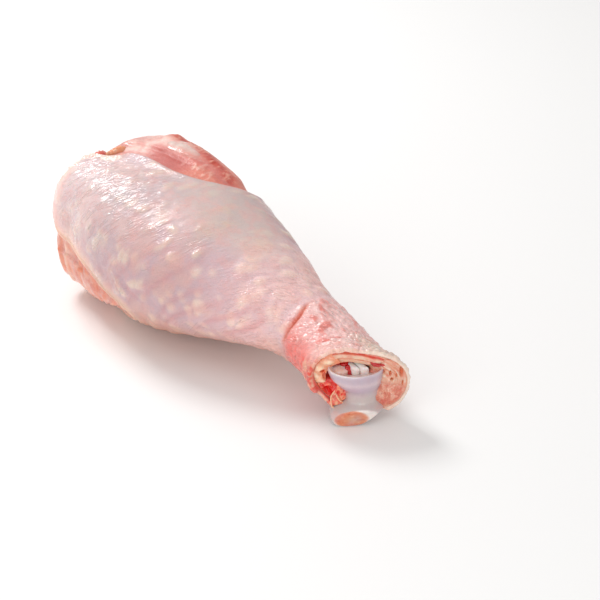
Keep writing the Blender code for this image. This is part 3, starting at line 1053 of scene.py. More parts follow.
@dataclass
class Hide:
    """The skin: a shell from its rolled cut edge to the fatty lip at the hock."""

    columns: int = 330
    row_step: float = 0.56
    lip_step: float = 0.38
    lip_reach: float = 16.0
    edge_rows: tuple = (0.0, 0.12, 0.3, 0.5, 0.8, 1.15, 1.55, 2.0)
    inner_rows: int = 14
    face_rows: int = 11
    length: float = 150.0

    edge_radius: float = 0.85
    mound_long: float = 7.8
    mound_wide: float = 5.6
    mound_height: float = 1.4
    near_rows: int = 90
    far: float = 14.0
    crease_lean: float = math.radians(-60)
    near_side: float = math.radians(150)
    cream: Colour = (236, 208, 194)
    lilac: Colour = (210, 178, 184)
    flush: Colour = (230, 184, 174)
    pearl: Colour = (210, 193, 185)
    rose: Colour = (248, 202, 197)
    ankle_pink: Colour = (246, 184, 180)
    blood_pink: Colour = (228, 124, 110)
    # painted shade: warmer, darker skin low down by the floor, standing in for shadow and warm light thrown
    # up from below
    painted_underside_shade: Colour = (218, 156, 132)
    lip_cream: Colour = (236, 212, 196)
    inside: Colour = (238, 206, 190)
    creases: tuple = (
        Crease(((0.425, 178), (0.47, 184), (0.53, 188)), 1.3, 0.26, 0.1),
        Crease(((0.500, 200), (0.522, 180), (0.57, 158), (0.625, 135)), 1.5, 0.32, 0.25),
        Crease(((0.545, 206), (0.585, 183), (0.63, 166), (0.677, 152)), 1.4, 0.32, 0.3),
        Crease(((0.525, 218), (0.60, 194), (0.667, 175), (0.73, 158)), 1.6, 0.36, 0.4),
        Crease(((0.64, 208), (0.70, 186), (0.76, 168), (0.79, 150)), 1.4, 0.30, 0.4),
        Crease(((0.72, 205), (0.80, 178), (0.828, 156)), 1.5, 0.4, 0.5),
        Crease(((0.30, 196), (0.35, 176), (0.40, 160)), 1.4, 0.2, 0.08),
        Crease(((0.36, 200), (0.42, 176), (0.48, 150)), 1.4, 0.22, 0.1),
        Crease(((0.42, 206), (0.48, 186), (0.55, 160)), 1.4, 0.24, 0.15),
    )
    ankle_cut: Crease = Crease(
        ((0.828, 80), (0.840, 100), (0.860, 116), (0.875, 130), (0.884, 146),
         (0.888, 160), (0.889, 176)), 0.9, 0.9, 1.0,
    )  # fmt: skip
    finish: TissueFinish = TissueFinish(
        "Wet hide", deep=(228, 164, 156), vein=(186, 126, 142), blotches=(5.5, 0.30),
        grain=(0.55, 0.05), vein_share=0.08, rough=(0.46, 0.28, 0.07), relief=0.58,
        relief_size=(8.0, 1.7, 1.7), lean=(0.0, 0.0, math.radians(-60)), relief_map=ReliefMap.CHART,
        glow=(0.14, 2.0),
    )  # fmt: skip

    def rows(self) -> Array:
        """Shares of the hide's length for the outer rows: crowded at the cut edge and at the lip.

        Returns:
            The shares, rising from 0 to 1.
        """
        body = np.arange(self.edge_rows[-1] + self.row_step, self.length - self.lip_reach, self.row_step)
        lip = np.arange(self.length - self.lip_reach, self.length, self.lip_step)
        return np.concatenate([self.edge_rows, body, lip, [self.length]]) / self.length

    def t_of(self, s: Array, phi: Array) -> Array:
        """The t of a row: it follows the cut edge at first, and calms down within a few centimetres.

        Args:
            s: the row's share of the hide's length.
            phi: angle round the leg.

        Returns:
            The row's t.
        """
        fine = np.linspace(0.0, TURN, 720, endpoint=False)
        edge = BODY.edge_t(fine)
        calm = np.full(phi.shape, edge.mean())
        for wave in (1, 2):
            calm += 2 * (edge * np.cos(wave * fine)).mean() * np.cos(wave * phi)
            calm += 2 * (edge * np.sin(wave * fine)).mean() * np.sin(wave * phi)
        own, end = BODY.edge_t(phi), BODY.end_t(phi)
        return calm + s * (end - calm) + (own - calm) * (1 - s) ** 3.5

    def from_edge(self, points: Array) -> Array:
        """Distance from the cut edge in mm, measured over the rows that may lie near it.

        Args:
            points: (rows, columns, 3).

        Returns:
            The distances.
        """
        edge = np.concatenate([points[0], points[0, :1]])
        gap = np.full(points.shape[:2], self.far)
        gap[: self.near_rows] = near_path(points[: self.near_rows], edge)[0]
        gap[0] = 0.0
        return np.minimum(gap, self.far)

    def roll(self, gap: Array) -> Array:
        """How far the edge's rounding sinks the surface: a quarter circle of edge_radius."""
        near = np.clip(self.edge_radius - gap, 0.0, self.edge_radius)
        return self.edge_radius - np.sqrt(np.maximum(self.edge_radius**2 - near**2, 0.0))

    def on_sheet(self, x: Array, phi: Array, long: float, wide: float, pattern: Callable) -> Array:
        """A pattern drawn out along the hide's creases, faded from one turn into the next underneath.

        The leg is unrolled to (along, its own radius times the angle), that sheet is turned by
        crease_lean, and the pattern is read at (with / long, across / wide).

        Args:
            x: millimetres along the leg.
            phi: angle round the leg.
            long: a feature's length, in mm.
            wide: its width.
            pattern: gives values for places.

        Returns:
            The pattern's values.
        """
        turn = angle_from(phi, self.near_side)
        radius = smooth_curve(BODY.section_x, BODY.drop, np.maximum(x, BODY.knee_x))
        c, s = math.cos(self.crease_lean), math.sin(self.crease_lean)

        def read(angle: Array) -> Array:
            """The pattern on the unrolled sheet, a little strayed, at a turn from the near side.

            Args:
                angle: the turn from the near side.

            Returns:
                The pattern's values.
            """
            around = radius * angle
            place = np.stack([(x * c + around * s) / long, (around * c - x * s) / wide, 0 * x], axis=-1)
            stray = np.stack([soft_noise(place + 9.0, 21), soft_noise(place + 9.0, 22), 0 * x], axis=-1)
            return pattern(place + 0.3 * stray + 40.0)

        fade = ramp(math.pi - 0.6, math.pi, turn)
        return read(turn) * (1 - fade) + read(turn - TURN) * fade

    def dress(self, t: Array, phi: Array, points: Array, gap: Array) -> tuple[Array, Array, Array]:
        """The hide's relief and paint.

        Relief is the sum of follicle mounds, drawn-out wrinkles, slow swells, long creases, the
        lumpy ankle and the ringed lip, each under its own share of the leg.

        Args:
            t: share of the way along.
            phi: angle round the leg.
            points: the bare surface's points.
            gap: distance from the cut edge in mm.

        Returns:
            Height in mm, tint out of 255, and mask.
        """
        degrees = np.degrees(phi)
        x, z = points[..., 0], points[..., 2]
        slow = noise(points / 22.0, 3, 5)
        mid = noise(points / 8.0, 3, 11)
        small = noise(points / 2.8, 2, 13)
        mound = self.on_sheet(x, phi, self.mound_long, self.mound_wide, lambda p: domes(p, 31))
        mound = mound * (0.7 + 0.5 * noise(points / 9.0, 2, 33))
        wrinkle = self.on_sheet(x, phi, 6.0, 1.7, lambda p: noise(p, 2, 61))
        broad = self.on_sheet(x, phi, 24.0, 5.5, lambda p: noise(p, 2, 67))
        lobule = mounds(points / 2.9 + 0.35 * mid[..., None], 47, 0.8)

        calm = spot(x, degrees, (98, 84), (42, 36), 1.6)
        shoulder = spot(x, degrees, (36, 130), (34, 40), 1.5)
        ankle = ramp(150.5, 157, x + 1.5 * mid)
        neck = ramp(108, 142, x + 4 * slow) * (1 - ankle)
        # the band near the floor where warm shade is painted
        low = ramp(29, 7, z + 5 * slow) * (1 - ankle)

        band = ramp(10.0, 3.0, gap + 2 * mid) * between(degrees, 118, 130, 180, 215)
        edge_fat = ramp(6.5, 2.0, gap + 1.5 * mid) * between(degrees, 97, 103, 132, 146)
        textured = (1 - 0.85 * calm) * (1 - 0.85 * band) * ramp(0.5, 5.0, gap)

        height = 0.45 * slow + 0.20 * mid * textured
        height += self.mound_height * (mound - 0.5) * textured * (1 - 0.3 * shoulder) * (1 - ankle)
        height += (0.08 + 0.26 * shoulder + 0.18 * neck) * wrinkle * textured * (1 - 0.8 * ankle)
        height += (0.16 + 0.36 * neck) * broad * textured
        height += 0.08 * small * (1 - 0.6 * calm)
        gritty = noise(points / 1.5, 2, 17)
        height += ankle * (0.42 * (lobule - 0.5) + 0.34 * mid + 0.26 * small + 0.30 * gritty)
        height += edge_fat * (1.1 * mounds(points / 3.2, 53, 0.8) - 0.3)
        grooves = np.zeros_like(t)
        redness = np.zeros_like(t)
        for crease in self.creases:
            field_share = crease.field(points)
            grooves = np.maximum(grooves, field_share)
            redness = np.maximum(redness, field_share * crease.redness)
            height += crease.depth * (0.35 * np.sqrt(field_share) - 1.25 * field_share)
        cut = self.ankle_cut.field(points)
        height += -self.ankle_cut.depth * cut
        collar = ankle * between(degrees, 84, 104, 180, 215)
        height += 0.7 * collar * (1 - cut)
        height += self._lip_relief(t, degrees, points)
        thin = between(degrees, 164, 180, 246, 266)
        height += bump(gap, 1.6, 1.4) * (0.25 + 0.35 * soft_noise(points / 7.0, 71)) * (1 - thin)
        height -= 0.9 * thin * ramp(4.5, 0.5, gap)

        cream_share = ramp(0.1, 0.6, mound + 0.25 * soft_noise(points / 5.0, 41))
        tint = coats(
            even(self.lilac, points),
            (self.cream, cream_share),
            (self.flush, 0.55 * ramp(0.10, 0.50, noise(points / 12.0, 2, 43))),
            (self.pearl, 0.75 * calm),
            # painted highlight: paler on the shoulder, where the key light's sheen falls
            ((222, 204, 202), 0.7 * shoulder),
            ((226, 196, 176), calm * ramp(0.15, 0.6, mid) * 0.6),
            (self.rose, 0.30 * ramp(0.0, 0.6, slow) + 0.7 * neck * (0.7 + 0.4 * mid)),
            # painted shade: warmer and darker towards the floor over the low band, and more at the very
            # bottom
            (self.painted_underside_shade, 0.95 * low),
            ((206, 136, 106), 0.7 * ramp(17, 5, z + 3 * slow) * (1 - ankle)),
            ((204, 158, 168), 0.35 * grooves * (1 - low)),
            (self.blood_pink, 0.4 * redness),
            ((246, 208, 200), 0.85 * band),
            ((248, 222, 206), 0.8 * edge_fat),
        )
        low_edge = ramp(8.0, 1.0, gap + 2 * mid) * between(degrees, 166, 180, 246, 266)
        tint = blend(tint, (240, 200, 176), 0.85 * low_edge)
        # painted light and shade: lighter at the knee end and towards the neck, darker over the middle of
        # the leg, which faces the lamps
        tint = tint * (1.05 - 0.10 * ramp(25, 60, x) + 0.08 * ramp(100, 135, x))[..., None]
        left = between(degrees, 128, 172, 250, 300)
        pink = coats(
            even(self.ankle_pink, points),
            ((240, 110, 100), 0.8 * left),
            ((248, 216, 208), 0.5 * lobule * (1 - 0.5 * left)),
            ((252, 216, 212), 0.6 * between(degrees, 40, 70, 100, 132)),
            ((230, 112, 100), 0.7 * ramp(0.10, 0.55, 0.7 * mid + 0.7 * small)),
        )
        tint = tint * (1 - ankle[..., None]) + pink * ankle[..., None]
        shown = between(degrees, 88, 118, 190, 230)
        tint = blend(tint, (226, 92, 62), 0.9 * cut * shown)
        tint = self._lip_paint(tint, t, degrees)
        wet = 0.45 + 0.55 * shoulder + 0.6 * ankle - 0.2 * low - 0.5 * calm
        wet = np.clip(wet + 1.0 * (mound - 0.3) + 0.4 * mid, 0.05, 1.0)
        fine = 0.26 + 0.74 * shoulder + 0.4 * neck + 0.4 * ankle - 0.2 * calm + 0.4 * mid
        fine = np.clip(fine, 0.08, 1.0) * (1 - 0.7 * band)
        fine = fine * ramp(0.03, 0.12, np.abs(angle_from(phi, 0.0)))
        return height, tint, gloss(wet, fine)

    def _lip_paint(self, tint: Array, t: Array, degrees: Array) -> Array:
        """Rim paint: cream on the far side, red ring wrinkles on top, torn and orange on the near.

        Args:
            tint: the paint so far.
            t: share of the way along.
            degrees: angle round the leg.

        Returns:
            The paint with the rim's colours.
        """
        reach = (1 - t) * FULL_LENGTH
        streak = sheet_noise(reach / 1.5, degrees / 16.0, 87)
        far = ramp(100, 70, degrees) + ramp(300, 330, degrees)
        tint = blend(tint, self.lip_cream, 0.9 * far * ramp(16, 7, reach + 3 * streak))
        top = between(degrees, 88, 104, 150, 165)
        tint = coats(
            tint,
            ((246, 214, 204), 0.5 * top * ramp(9, 3, reach)),
            ((230, 98, 86), 0.85 * top * ramp(10, 5, reach) * ramp(0.12, 0.45, streak)),
        )
        near = between(degrees, 150, 172, 262, 300) * ramp(9, 4, reach)
        return coats(
            tint,
            ((250, 196, 160), 0.8 * near * ramp(0.0, -0.3, streak)),
            ((232, 72, 54), 0.9 * near * ramp(0.02, 0.32, streak)),
        )

    def _lip_relief(self, t: Array, degrees: Array, points: Array) -> Array:
        """Rings round the leg near the rim, and the scale-like bumps that its outline shows.

        Args:
            t: share of the way along.
            degrees: angle round the leg.
            points: the bare surface's points.

        Returns:
            Height in mm.
        """
        reach = (1 - t) * FULL_LENGTH
        rings = np.cos(TURN * (reach + 1.6 * soft_noise(points / 5.0, 81)) / 2.8) * 0.16
        scales = 0.6 * (mounds(points / np.array([2.4, 3.0, 3.0]), 83, 0.7) - 0.5)
        side = np.clip(ramp(110, 80, degrees) + ramp(330, 350, degrees), 0, 1)
        near = between(degrees, 150, 175, 262, 300)
        folds = 1.1 * sheet_noise(reach / 2.2, degrees / 20.0, 89)
        zone = ramp(22.0, 6.0, reach)
        relief = rings + scales * (0.2 + 0.8 * side) + folds * near * ramp(9, 4, reach)
        return zone * relief + 0.2 * ramp(0.955, 0.985, t)

    def build(self) -> bpy.types.Object:
        """The hide as one closed band: outer rows, the lip's cut face, and the inside.

        Returns:
            The finished piece.
        """
        angles = BODY.columns(self.columns, 0.8, 5.0)
        s = self.rows()[:, None]
        phi = np.tile(angles, (len(s), 1))
        t = self.t_of(s, phi)
        bare = BODY.layer(t, phi, np.zeros_like(t))
        gap = self.from_edge(bare)
        height, tint, mask = self.dress(t, phi, bare, gap)
        outer = BODY.layer(t, phi, self.roll(gap) - height * ramp(0.0, 1.5, gap))
        outer[..., 2] = np.maximum(outer[..., 2], 0.0)

        inner_s = np.concatenate([s[: len(self.edge_rows), 0], np.linspace(0.03, 1.0, self.inner_rows)])
        inner_s = inner_s[:, None]
        inner_phi = np.tile(angles, (len(inner_s), 1))
        inner_t = self.t_of(inner_s, inner_phi)
        beyond = np.full((self.inner_rows, len(angles)), self.far)
        inner_gap = np.concatenate([gap[: len(self.edge_rows)], beyond])
        depth = np.maximum(BODY.skin_depth(inner_t) - self.roll(inner_gap), self.edge_radius)
        inner = BODY.layer(inner_t, inner_phi, depth)
        inner_mask = gloss(np.full(inner.shape[:2], 0.6), 0.2)

        face, face_tint, face_mask = self._lip_face(outer[-1], inner[-1], angles)
        points = np.concatenate([outer, face, inner[::-1]])
        tints = np.concatenate([tint, face_tint, even(self.inside, inner)])
        masks = np.concatenate([mask, face_mask, inner_mask])
        chart = np.stack(np.broadcast_arrays(points[..., 0], angles[None, :]), axis=-1)
        return Shell.band(points, tints, masks, chart).to_object("hide", self.finish)

    def _lip_face(self, outer: Array, inner: Array, angles: Array) -> tuple[Array, Array, Array]:
        """The rim of the lip: a half round from its outer edge to its inner one, a little ragged.

        Args:
            outer: the outer edge's points.
            inner: the inner edge's points.
            angles: angles round the leg.

        Returns:
            Points, tint and mask.
        """
        turn = np.linspace(0.0, math.pi, self.face_rows + 2)[1:-1, None]
        share = (1 - np.cos(turn)) / 2 + 0 * angles
        thick = np.linalg.norm(outer - inner, axis=-1)
        rows = outer[None] * (1 - share[..., None]) + inner[None] * share[..., None]
        grit = noise(rows / 2.4, 2, 91)
        forward = np.sin(turn) * thick * (0.5 + 0.3 * grit)
        rows = rows + forward[..., None] * HOCK.out
        degrees = np.degrees(angles)[None, :] + 0 * share
        near = between(degrees, 135, 165, 262, 300)
        top = between(degrees, 75, 95, 145, 165)
        tint = coats(
            even((242, 218, 200), rows),
            ((240, 170, 142), near * 0.8),
            ((244, 200, 186), 0.7 * top),
            ((224, 84, 66), near * ramp(0.0, 0.4, grit)),
            ((226, 84, 76), 0.85 * (top + near) * ramp(0.62, 0.86, share)),
            ((240, 186, 160), 0.5 * ramp(0.1, 0.6, grit) * (1 - near)),
        )
        return rows, tint, gloss(0.8 + 0 * degrees, 0.3)


# ---------------- the meat


def notch_side(t: Array) -> Array:
    """The angle, in degrees, at which the near side of the notch in the hide's edge lies at each t."""
    ts, degrees = zip(*NOTCH_SIDE)
    return smooth_curve(np.array(ts), np.array(degrees), t)


@dataclass
class Meat:
    """The muscle that the hide wraps: bare in the notch on top, low at the side and at the knee."""

    columns: int = 300
    cap_rows: int = 78
    bare_rows: int = 104
    hidden_rows: int = 12
    bare_end: float = 0.455
    end: float = 0.94
    seams: tuple = (30.0, 104.0, 138.0, 232.0, 296.0)
    salmon: Colour = (220, 142, 132)
    deep: Colour = (204, 96, 88)
    film: Colour = (234, 200, 194)
    fat: Colour = (240, 216, 198)
    orange: Colour = (230, 146, 116)
    finish: TissueFinish = TissueFinish(
        "Raw muscle", deep=(206, 104, 96), vein=(236, 208, 200), blotches=(6.0, 0.45),
        grain=(0.7, 0.07), vein_share=0.10, rough=(0.48, 0.3, 0.16), relief=0.10,
        relief_size=(9.0, 0.7, 0.7), lean=(0.0, 0.12, 0.1), glow=(0.2, 2.5),
    )  # fmt: skip

    def dress(self, t: Array, phi: Array, points: Array) -> tuple[Array, Array, Array]:
        """The bare muscle's relief and paint: fibre bundles, folds by the cut edge, lobes at the knee.

        Args:
            t: share of the way along.
            phi: angle round the leg.
            points: the undressed layer's points.

        Returns:
            Height in mm, tint out of 255, and mask.
        """
        degrees = np.degrees(phi)
        x, y, z = points[..., 0], points[..., 1], points[..., 2]
        mid = noise(points / 7.0, 3, 103)
        slow = noise(points / 18.0, 2, 107)
        lean = (degrees * 0.7 + 0.25 * x) / 1.7
        fibres = sheet_noise(x / 16.0, lean, 109)
        bundles = sheet_noise(x / 16.0 * 0.6, lean * 0.3, 113)
        edge = BODY.edge_t(phi)
        from_skin = (edge - t) * FULL_LENGTH
        from_notch = np.abs(degrees - notch_side(t)) * 0.66
        bare = ramp(-0.5, 2.5, from_skin)

        knee = between(t, 0.012, 0.03, 0.09, 0.17)
        turns = [np.degrees(angle_from(phi, math.radians(seam))) + 4 * mid for seam in self.seams]
        seam_gap = np.min(np.abs(turns), axis=0)
        seam = bump(seam_gap, 0.0, 3.2) * between(t, 0.02, 0.05, 0.14, 0.2)
        crescent = between(degrees, 172, 190, 244, 268) * ramp(0.05, 0.10, t)
        folds = np.cos(TURN * (x + 2.6 * mid + 2.0 * slow) / 6.5)
        lobes = domes(points / 8.0 + 0.3 * mid[..., None], 127, 0.5)
        notch = between(degrees, 8, 22, 88, 100) * ramp(0.1, 0.18, t)

        hollow = between(t, 0.165, 0.225, 0.29, 0.36) * ramp(11.5, 8.0, from_notch + 1.2 * mid)
        skyline = bump(degrees + 2.5 * mid, 60.0, 4.6) * between(t, 0.165, 0.20, 0.40, 0.44)
        specks = ramp(0.05, 0.4, noise(points / 1.7, 2, 117))
        flecks = spot(t, degrees, (0.350, 74.0), (0.055, 7.0), 1.5) * specks
        fold = spot(t, degrees, (0.184, 62.0), (0.026, 8.0), 1.3)
        sheen = notch * ramp(0.33, 0.26, t) * (1 - 0.85 * hollow)

        smooth = 1 - 0.85 * crescent
        height = 0.4 * slow + (0.22 * bundles + 0.12 * fibres) * smooth + 0.2 * mid * smooth
        height += 0.6 * knee * np.cos(math.pi * np.clip(seam_gap / 30.0, 0, 1)) * -1.0
        height -= 1.0 * seam
        capsule = bump(t, 0.016, 0.009) * (0.75 + 0.6 * mid)
        height += 1.3 * capsule
        height += (0.4 * folds + 0.3 * lobes) * crescent * ramp(0.0, 3.0, from_skin)
        height += -0.8 * hollow + 2.4 * fold + 0.35 * notch * bundles + 0.35 * flecks
        height += skyline * (0.7 * noise(points / 1.6, 2, 119) + 0.2)
        height = height * bare

        tint = coats(
            even(self.salmon, points),
            (self.deep, 0.4 * ramp(-0.1, 0.6, mid)),
            (self.film, 0.55 * ramp(0.15, 0.6, bundles) * (1 - crescent) * (1 - notch)),
            ((236, 186, 176), 0.5 * ramp(0.2, 0.6, fibres) * (1 - 0.6 * notch) * smooth),
            (self.orange, 0.9 * crescent),
            ((236, 190, 180), 0.8 * crescent * ramp(0.05, 0.8, lobes)),
            # painted highlight and shade on the folds: cream on their crests, partly the fat's own colour,
            # and darker red in their troughs
            ((248, 214, 188), 0.6 * crescent * ramp(0.4, 0.95, folds) * ramp(0.0, 0.3, mid)),
            ((222, 106, 76), 0.4 * crescent * ramp(-0.3, -0.9, folds) * ramp(0.3, 0.0, lobes)),
            ((244, 208, 180), 0.7 * crescent * ramp(5.0, 1.0, from_skin)),
        )
        right = notch * ramp(0.28, 0.34, t)
        tint = coats(
            tint,
            ((224, 132, 112), right * ramp(-0.3, 0.3, bundles) * 0.8),
            ((244, 212, 202), sheen * (0.8 + 0.3 * bundles)),
            ((188, 92, 84), 0.95 * hollow * (0.8 + 0.5 * bundles)),
            ((196, 74, 58), 0.9 * skyline),
            ((246, 210, 186), 0.7 * skyline * ramp(0.12, 0.45, noise(points / 1.6, 2, 119))),
            ((244, 210, 194), 0.65 * flecks),
            (self.fat, 0.8 * seam * ramp(-0.4, 0.3, slow)),
            ((176, 40, 36), 0.7 * seam * ramp(0.1, -0.5, slow)),
        )
        barbs = sheet_noise(from_skin / 30.0, degrees / 1.5, 129)
        back = ramp(262, 285, degrees) + ramp(60, 30, degrees)
        feather = back * ramp(0.02, 0.45, barbs) * ramp(1.0, 3.0, from_skin)
        feather = feather * ramp(16.0, 5.0, from_skin + 6 * mid)
        tint = blend(tint, (246, 212, 204), 0.75 * feather)
        core = ramp(0.055, 0.02, t)
        tint = coats(
            tint,
            ((226, 168, 150), 0.7 * core),
            ((244, 218, 200), 0.8 * capsule * ramp(-0.35, 0.25, barbs)),
        )
        hock_end = ramp(0.9, 0.925, t)
        tint = blend(tint, (186, 36, 30), 0.9 * hock_end)
        wet = np.clip(0.7 + 0.4 * mid - 0.6 * notch, 0.05, 1.0)
        fine = np.clip(0.55 + 0.3 * bundles - 0.4 * crescent, 0.05, 1.0)
        return height, tint, gloss(wet, fine)

    def build(self) -> bpy.types.Object:
        """The meat as one closed body of rings from the knee to just inside the hock.

        Returns:
            The finished piece.
        """
        cap = np.linspace(0.0, 1.0, self.cap_rows + 1)[1:] ** 1.25 * BODY.knee_t
        bare_t = np.linspace(BODY.knee_t, self.bare_end, self.bare_rows)[1:]
        hidden = np.linspace(self.bare_end, self.end, self.hidden_rows)[1:]
        rows = np.concatenate([cap, bare_t, hidden])[:, None]
        angles = BODY.columns(self.columns, 0.3, 4.0)
        phi = np.tile(angles, (len(rows), 1))
        t = np.broadcast_to(rows, phi.shape)
        depth = BODY.meat_depth(t, phi)
        base = BODY.layer(t, phi, depth)
        height, tint, mask = self.dress(t, phi, base)
        points = BODY.layer(t, phi, depth - height)
        points[..., 2] = np.maximum(points[..., 2], 0.5)
        return Shell.tube(points, tint, mask).to_object("muscle", self.finish)


# ---------------- the bone


@dataclass
class ShinBone:
    """The shin bone: plateau at the knee, hidden shaft, and the knuckle that stands in the hock."""

    shaft_sections: tuple = (
        (2.3, 0.5, 38.6, 12.6, 9.4), (3.4, 0.5, 38.5, 15.6, 12.0), (7.4, 0.4, 38.0, 16.2, 12.6),
        (14.0, 0.2, 37.6, 14.0, 11.2), (24.0, 0.0, 37.0, 9.6, 8.6), (40.0, -0.5, 36.5, 7.0, 6.8),
        (70.0, -1.4, 35.6, 6.1, 6.0), (105.0, -2.4, 34.2, 5.9, 5.8), (130.0, -1.8, 31.0, 6.2, 6.0),
        (148.0, -1.6, 26.2, 6.8, 6.2), (162.0, -2.6, 19.6, 7.8, 6.4), (172.0, -3.6, 14.8, 8.4, 6.2),
        (180.0, -4.6, 12.2, 6.6, 5.0),
    )  # fmt: skip
    knuckle_sections: tuple = (
        (-19.78, 5.8, 5.6, -4.4, -0.8), (-18.6, 7.9, 7.2, -3.7, -0.6), (-15.6, 10.1, 7.8, -1.7, -0.8),
        (-13.4, 11.0, 7.4, 0.1, -1.0), (-11.8, 9.8, 6.6, 1.2, -1.5), (-9.4, 7.2, 5.4, 2.2, -2.4),
        (-6.0, 7.4, 5.6, 2.0, -2.4), (-2.0, 9.4, 6.8, 0.8, -2.0), (2.2, 11.3, 7.8, -0.5, -1.8),
        (5.4, 12.0, 8.3, -0.8, -1.8), (6.5, 11.4, 7.7, -0.8, -1.8), (5.9, 10.3, 6.6, -0.8, -1.8),
        (4.0, 8.2, 5.2, -0.8, -1.8), (3.0, 4.6, 2.8, -0.8, -1.8),
    )  # fmt: skip
    groove_floor: float = 1.0
    groove_slope: float = 0.12
    groove_wall: float = 12.0
    sawn_out: float = 5.4
    sawn_top: float = -12.0
    sawn_shoulder: float = 2.2
    knuckle_columns: int = 150
    knuckle_rings: int = 128
    pearl: Colour = (192, 174, 187)
    grey: Colour = (202, 187, 183)
    # the bowl rim's pale colour, partly a painted highlight
    white: Colour = (246, 240, 236)
    marrow: Colour = (224, 124, 82)
    finish: TissueFinish = TissueFinish(
        "Wet gristle and bone", deep=(196, 164, 176), vein=(214, 170, 176), blotches=(5.0, 0.3),
        grain=(0.45, 0.035), vein_share=0.06, rough=(0.3, 0.16, 0.06), relief=0.03,
        relief_size=(1.2, 1.2, 1.2), glow=(0.25, 2.0),
    )  # fmt: skip

    def knuckle(self) -> Shell:
        """Level rings up the knuckle, over its flange and into the bowl in its top.

        Each ring is an ellipse in the hock's frame. The bowl's wall drops at the back where the
        tendons come in, and the foot is sawn flat in front.

        Returns:
            The painted shell.
        """
        table = np.array(self.knuckle_sections)
        at = np.linspace(0, len(table) - 1, self.knuckle_rings)[:, None]
        up, wide, deep, across, out = curves(table, at)
        around = circle_angles(self.knuckle_columns)[None, :]
        c, s = np.cos(around), np.sin(around)
        unit = rounded_unit(c, s, 2.0 + 0.9 * bump(up, -16.0, 4.0))
        u = across + wide * unit * c
        n = out + deep * unit * s
        lip = self.groove_floor + self.groove_wall * (1 - ramp(-0.3, 0.8, -s))
        w = np.where(up > lip, lip + self.groove_slope * (up - lip), up + 0 * s)
        sawn = self.sawn_out + self.sawn_shoulder * np.maximum(w - self.sawn_top, 0.0)
        n = soft_min(n, sawn, 0.22)
        waist = bump(w, -3.4, 1.6) * 0.12 + bump(w + 0.35 * (u - 5), -7.2, 1.0) * 0.35 * ramp(-2, 5, u)
        shrink = 1 - waist / 9.0 * (at < 9.3)
        u, n = across + (u - across) * shrink, out + (n - out) * shrink
        points = HOCK.place(u, n, w)
        return Shell.tube(points, *self._paint_knuckle(at + 0 * u, (u, n, w), points))

    def _paint_knuckle(self, at: Array, cut: tuple[Array, ...], points: Array) -> tuple[Array, Array]:
        """Lilac pulley, grey waist, pale rim with a painted highlight, pink bowl and the salmon oval of sawn
        bone.

        Args:
            at: place in the table of sections.
            cut: mm across the cut, out of it and up it.
            points: the surface's points.

        Returns:
            Tint and mask.
        """
        u, n, w = cut
        grit = noise(points / 1.1, 2, 131)
        slow = noise(points / 6.0, 2, 137)
        inside = ramp(9.7, 10.6, at)
        # the bowl's rim: pale, with a painted highlight that grows towards the near left side
        rim = bump(at, 9.8, 0.5) * ramp(0.0, 3.0, n + 6)
        face = ramp(self.sawn_out - 0.7, self.sawn_out - 0.25, n) * ramp(-10.8, -12.2, w)
        tint = coats(
            even(self.pearl, points),
            (self.grey, ramp(-1.0, -8.0, w)),
            ((190, 164, 184), 0.6 * bump(w, -1.6, 2.0) * ramp(9, 2, np.abs(u + 3))),
            ((226, 206, 208), 0.6 * bump(w, 1.2, 1.6)),
            ((222, 168, 160), 0.7 * ramp(-9.5, -13.0, w) * ramp(0.0, 0.5, slow + 0.2)),
            ((222, 214, 210), 0.5 * ramp(-12.0, -15.0, w)),
            ((255, 234, 224), inside),
            ((228, 120, 104), inside * ramp(5.5, 8.5, u) * 0.8),
            ((206, 60, 52), inside * ramp(-5.0, -8.0, n) * 0.7),
            (self.white, rim * (0.45 + 0.5 * ramp(0.0, -7.0, u))),
            ((244, 236, 230), 0.85 * face),
        )
        core = coats(
            even(self.marrow, points),
            ((214, 166, 140), spot(u, w, (-1.6, -16.2), (4.4, 2.3))),
            ((198, 96, 72), 0.6 * ramp(0.15, 0.6, grit)),
            ((240, 196, 170), 0.5 * ramp(-0.15, -0.6, grit)),
        )
        oval = spot(u, w, (-3.1, -15.9), (7.5, 4.1), 9.0) * face
        return blend(tint, core, oval), gloss(np.clip(1.0 - 0.55 * oval, 0, 1), 0.3 + 1.6 * oval)

    def shaft(self) -> Shell:
        """Rings along the shaft, spread into the two-dished plateau at the knee.

        Returns:
            The painted shell.
        """
        table = np.array(self.shaft_sections)
        at = np.concatenate([np.linspace(0, 3.4, 60), np.linspace(3.6, len(table) - 1, 16)])[:, None]
        x, y, z, wide, high = curves(table, at)
        around = circle_angles(96)[None, :]
        pinch = 0.14 * (1 - ramp(5.5, 17.0, x)) * np.sin(around) ** 2
        across = wide * np.cos(around)
        tall = high * (1 - pinch) * np.sin(around)
        ring = np.stack(np.broadcast_arrays(x, y + across, z + tall), axis=-1)
        shrink = np.linspace(0.04, 0.96, 20)[:, None]
        a, b = across[:1] * shrink, tall[:1] * shrink
        dish = 1.2 * (spot(a, b, (-6.4, 0), (4.2, 5.6), 1.4) + spot(a, b, (6.4, 0), (4.2, 5.6), 1.4))
        dish = dish - 1.1 * spot(a, b, (0, 0.5), (1.8, 4.5))
        face = np.stack(np.broadcast_arrays(x[0] + dish, y[0] + a, z[0] + b), axis=-1)
        points = np.concatenate([face, ring])
        near = points[..., 0]
        grit = noise(points / 2.5, 3, 139)
        hollow = ramp(2.6, 3.9, near) * (np.arange(len(points)) < len(shrink))[:, None]
        tint = coats(
            even((226, 216, 216), points),
            ((232, 190, 180), ramp(3.9, 7.5, near)),
            ((208, 96, 84), 0.8 * ramp(0.1, 0.6, grit) * ramp(3.2, 5.5, near)),
            ((206, 188, 194), 0.5 * hollow),
        )
        return Shell.tube(points, tint, gloss(np.full(near.shape, 0.9), 0.36))

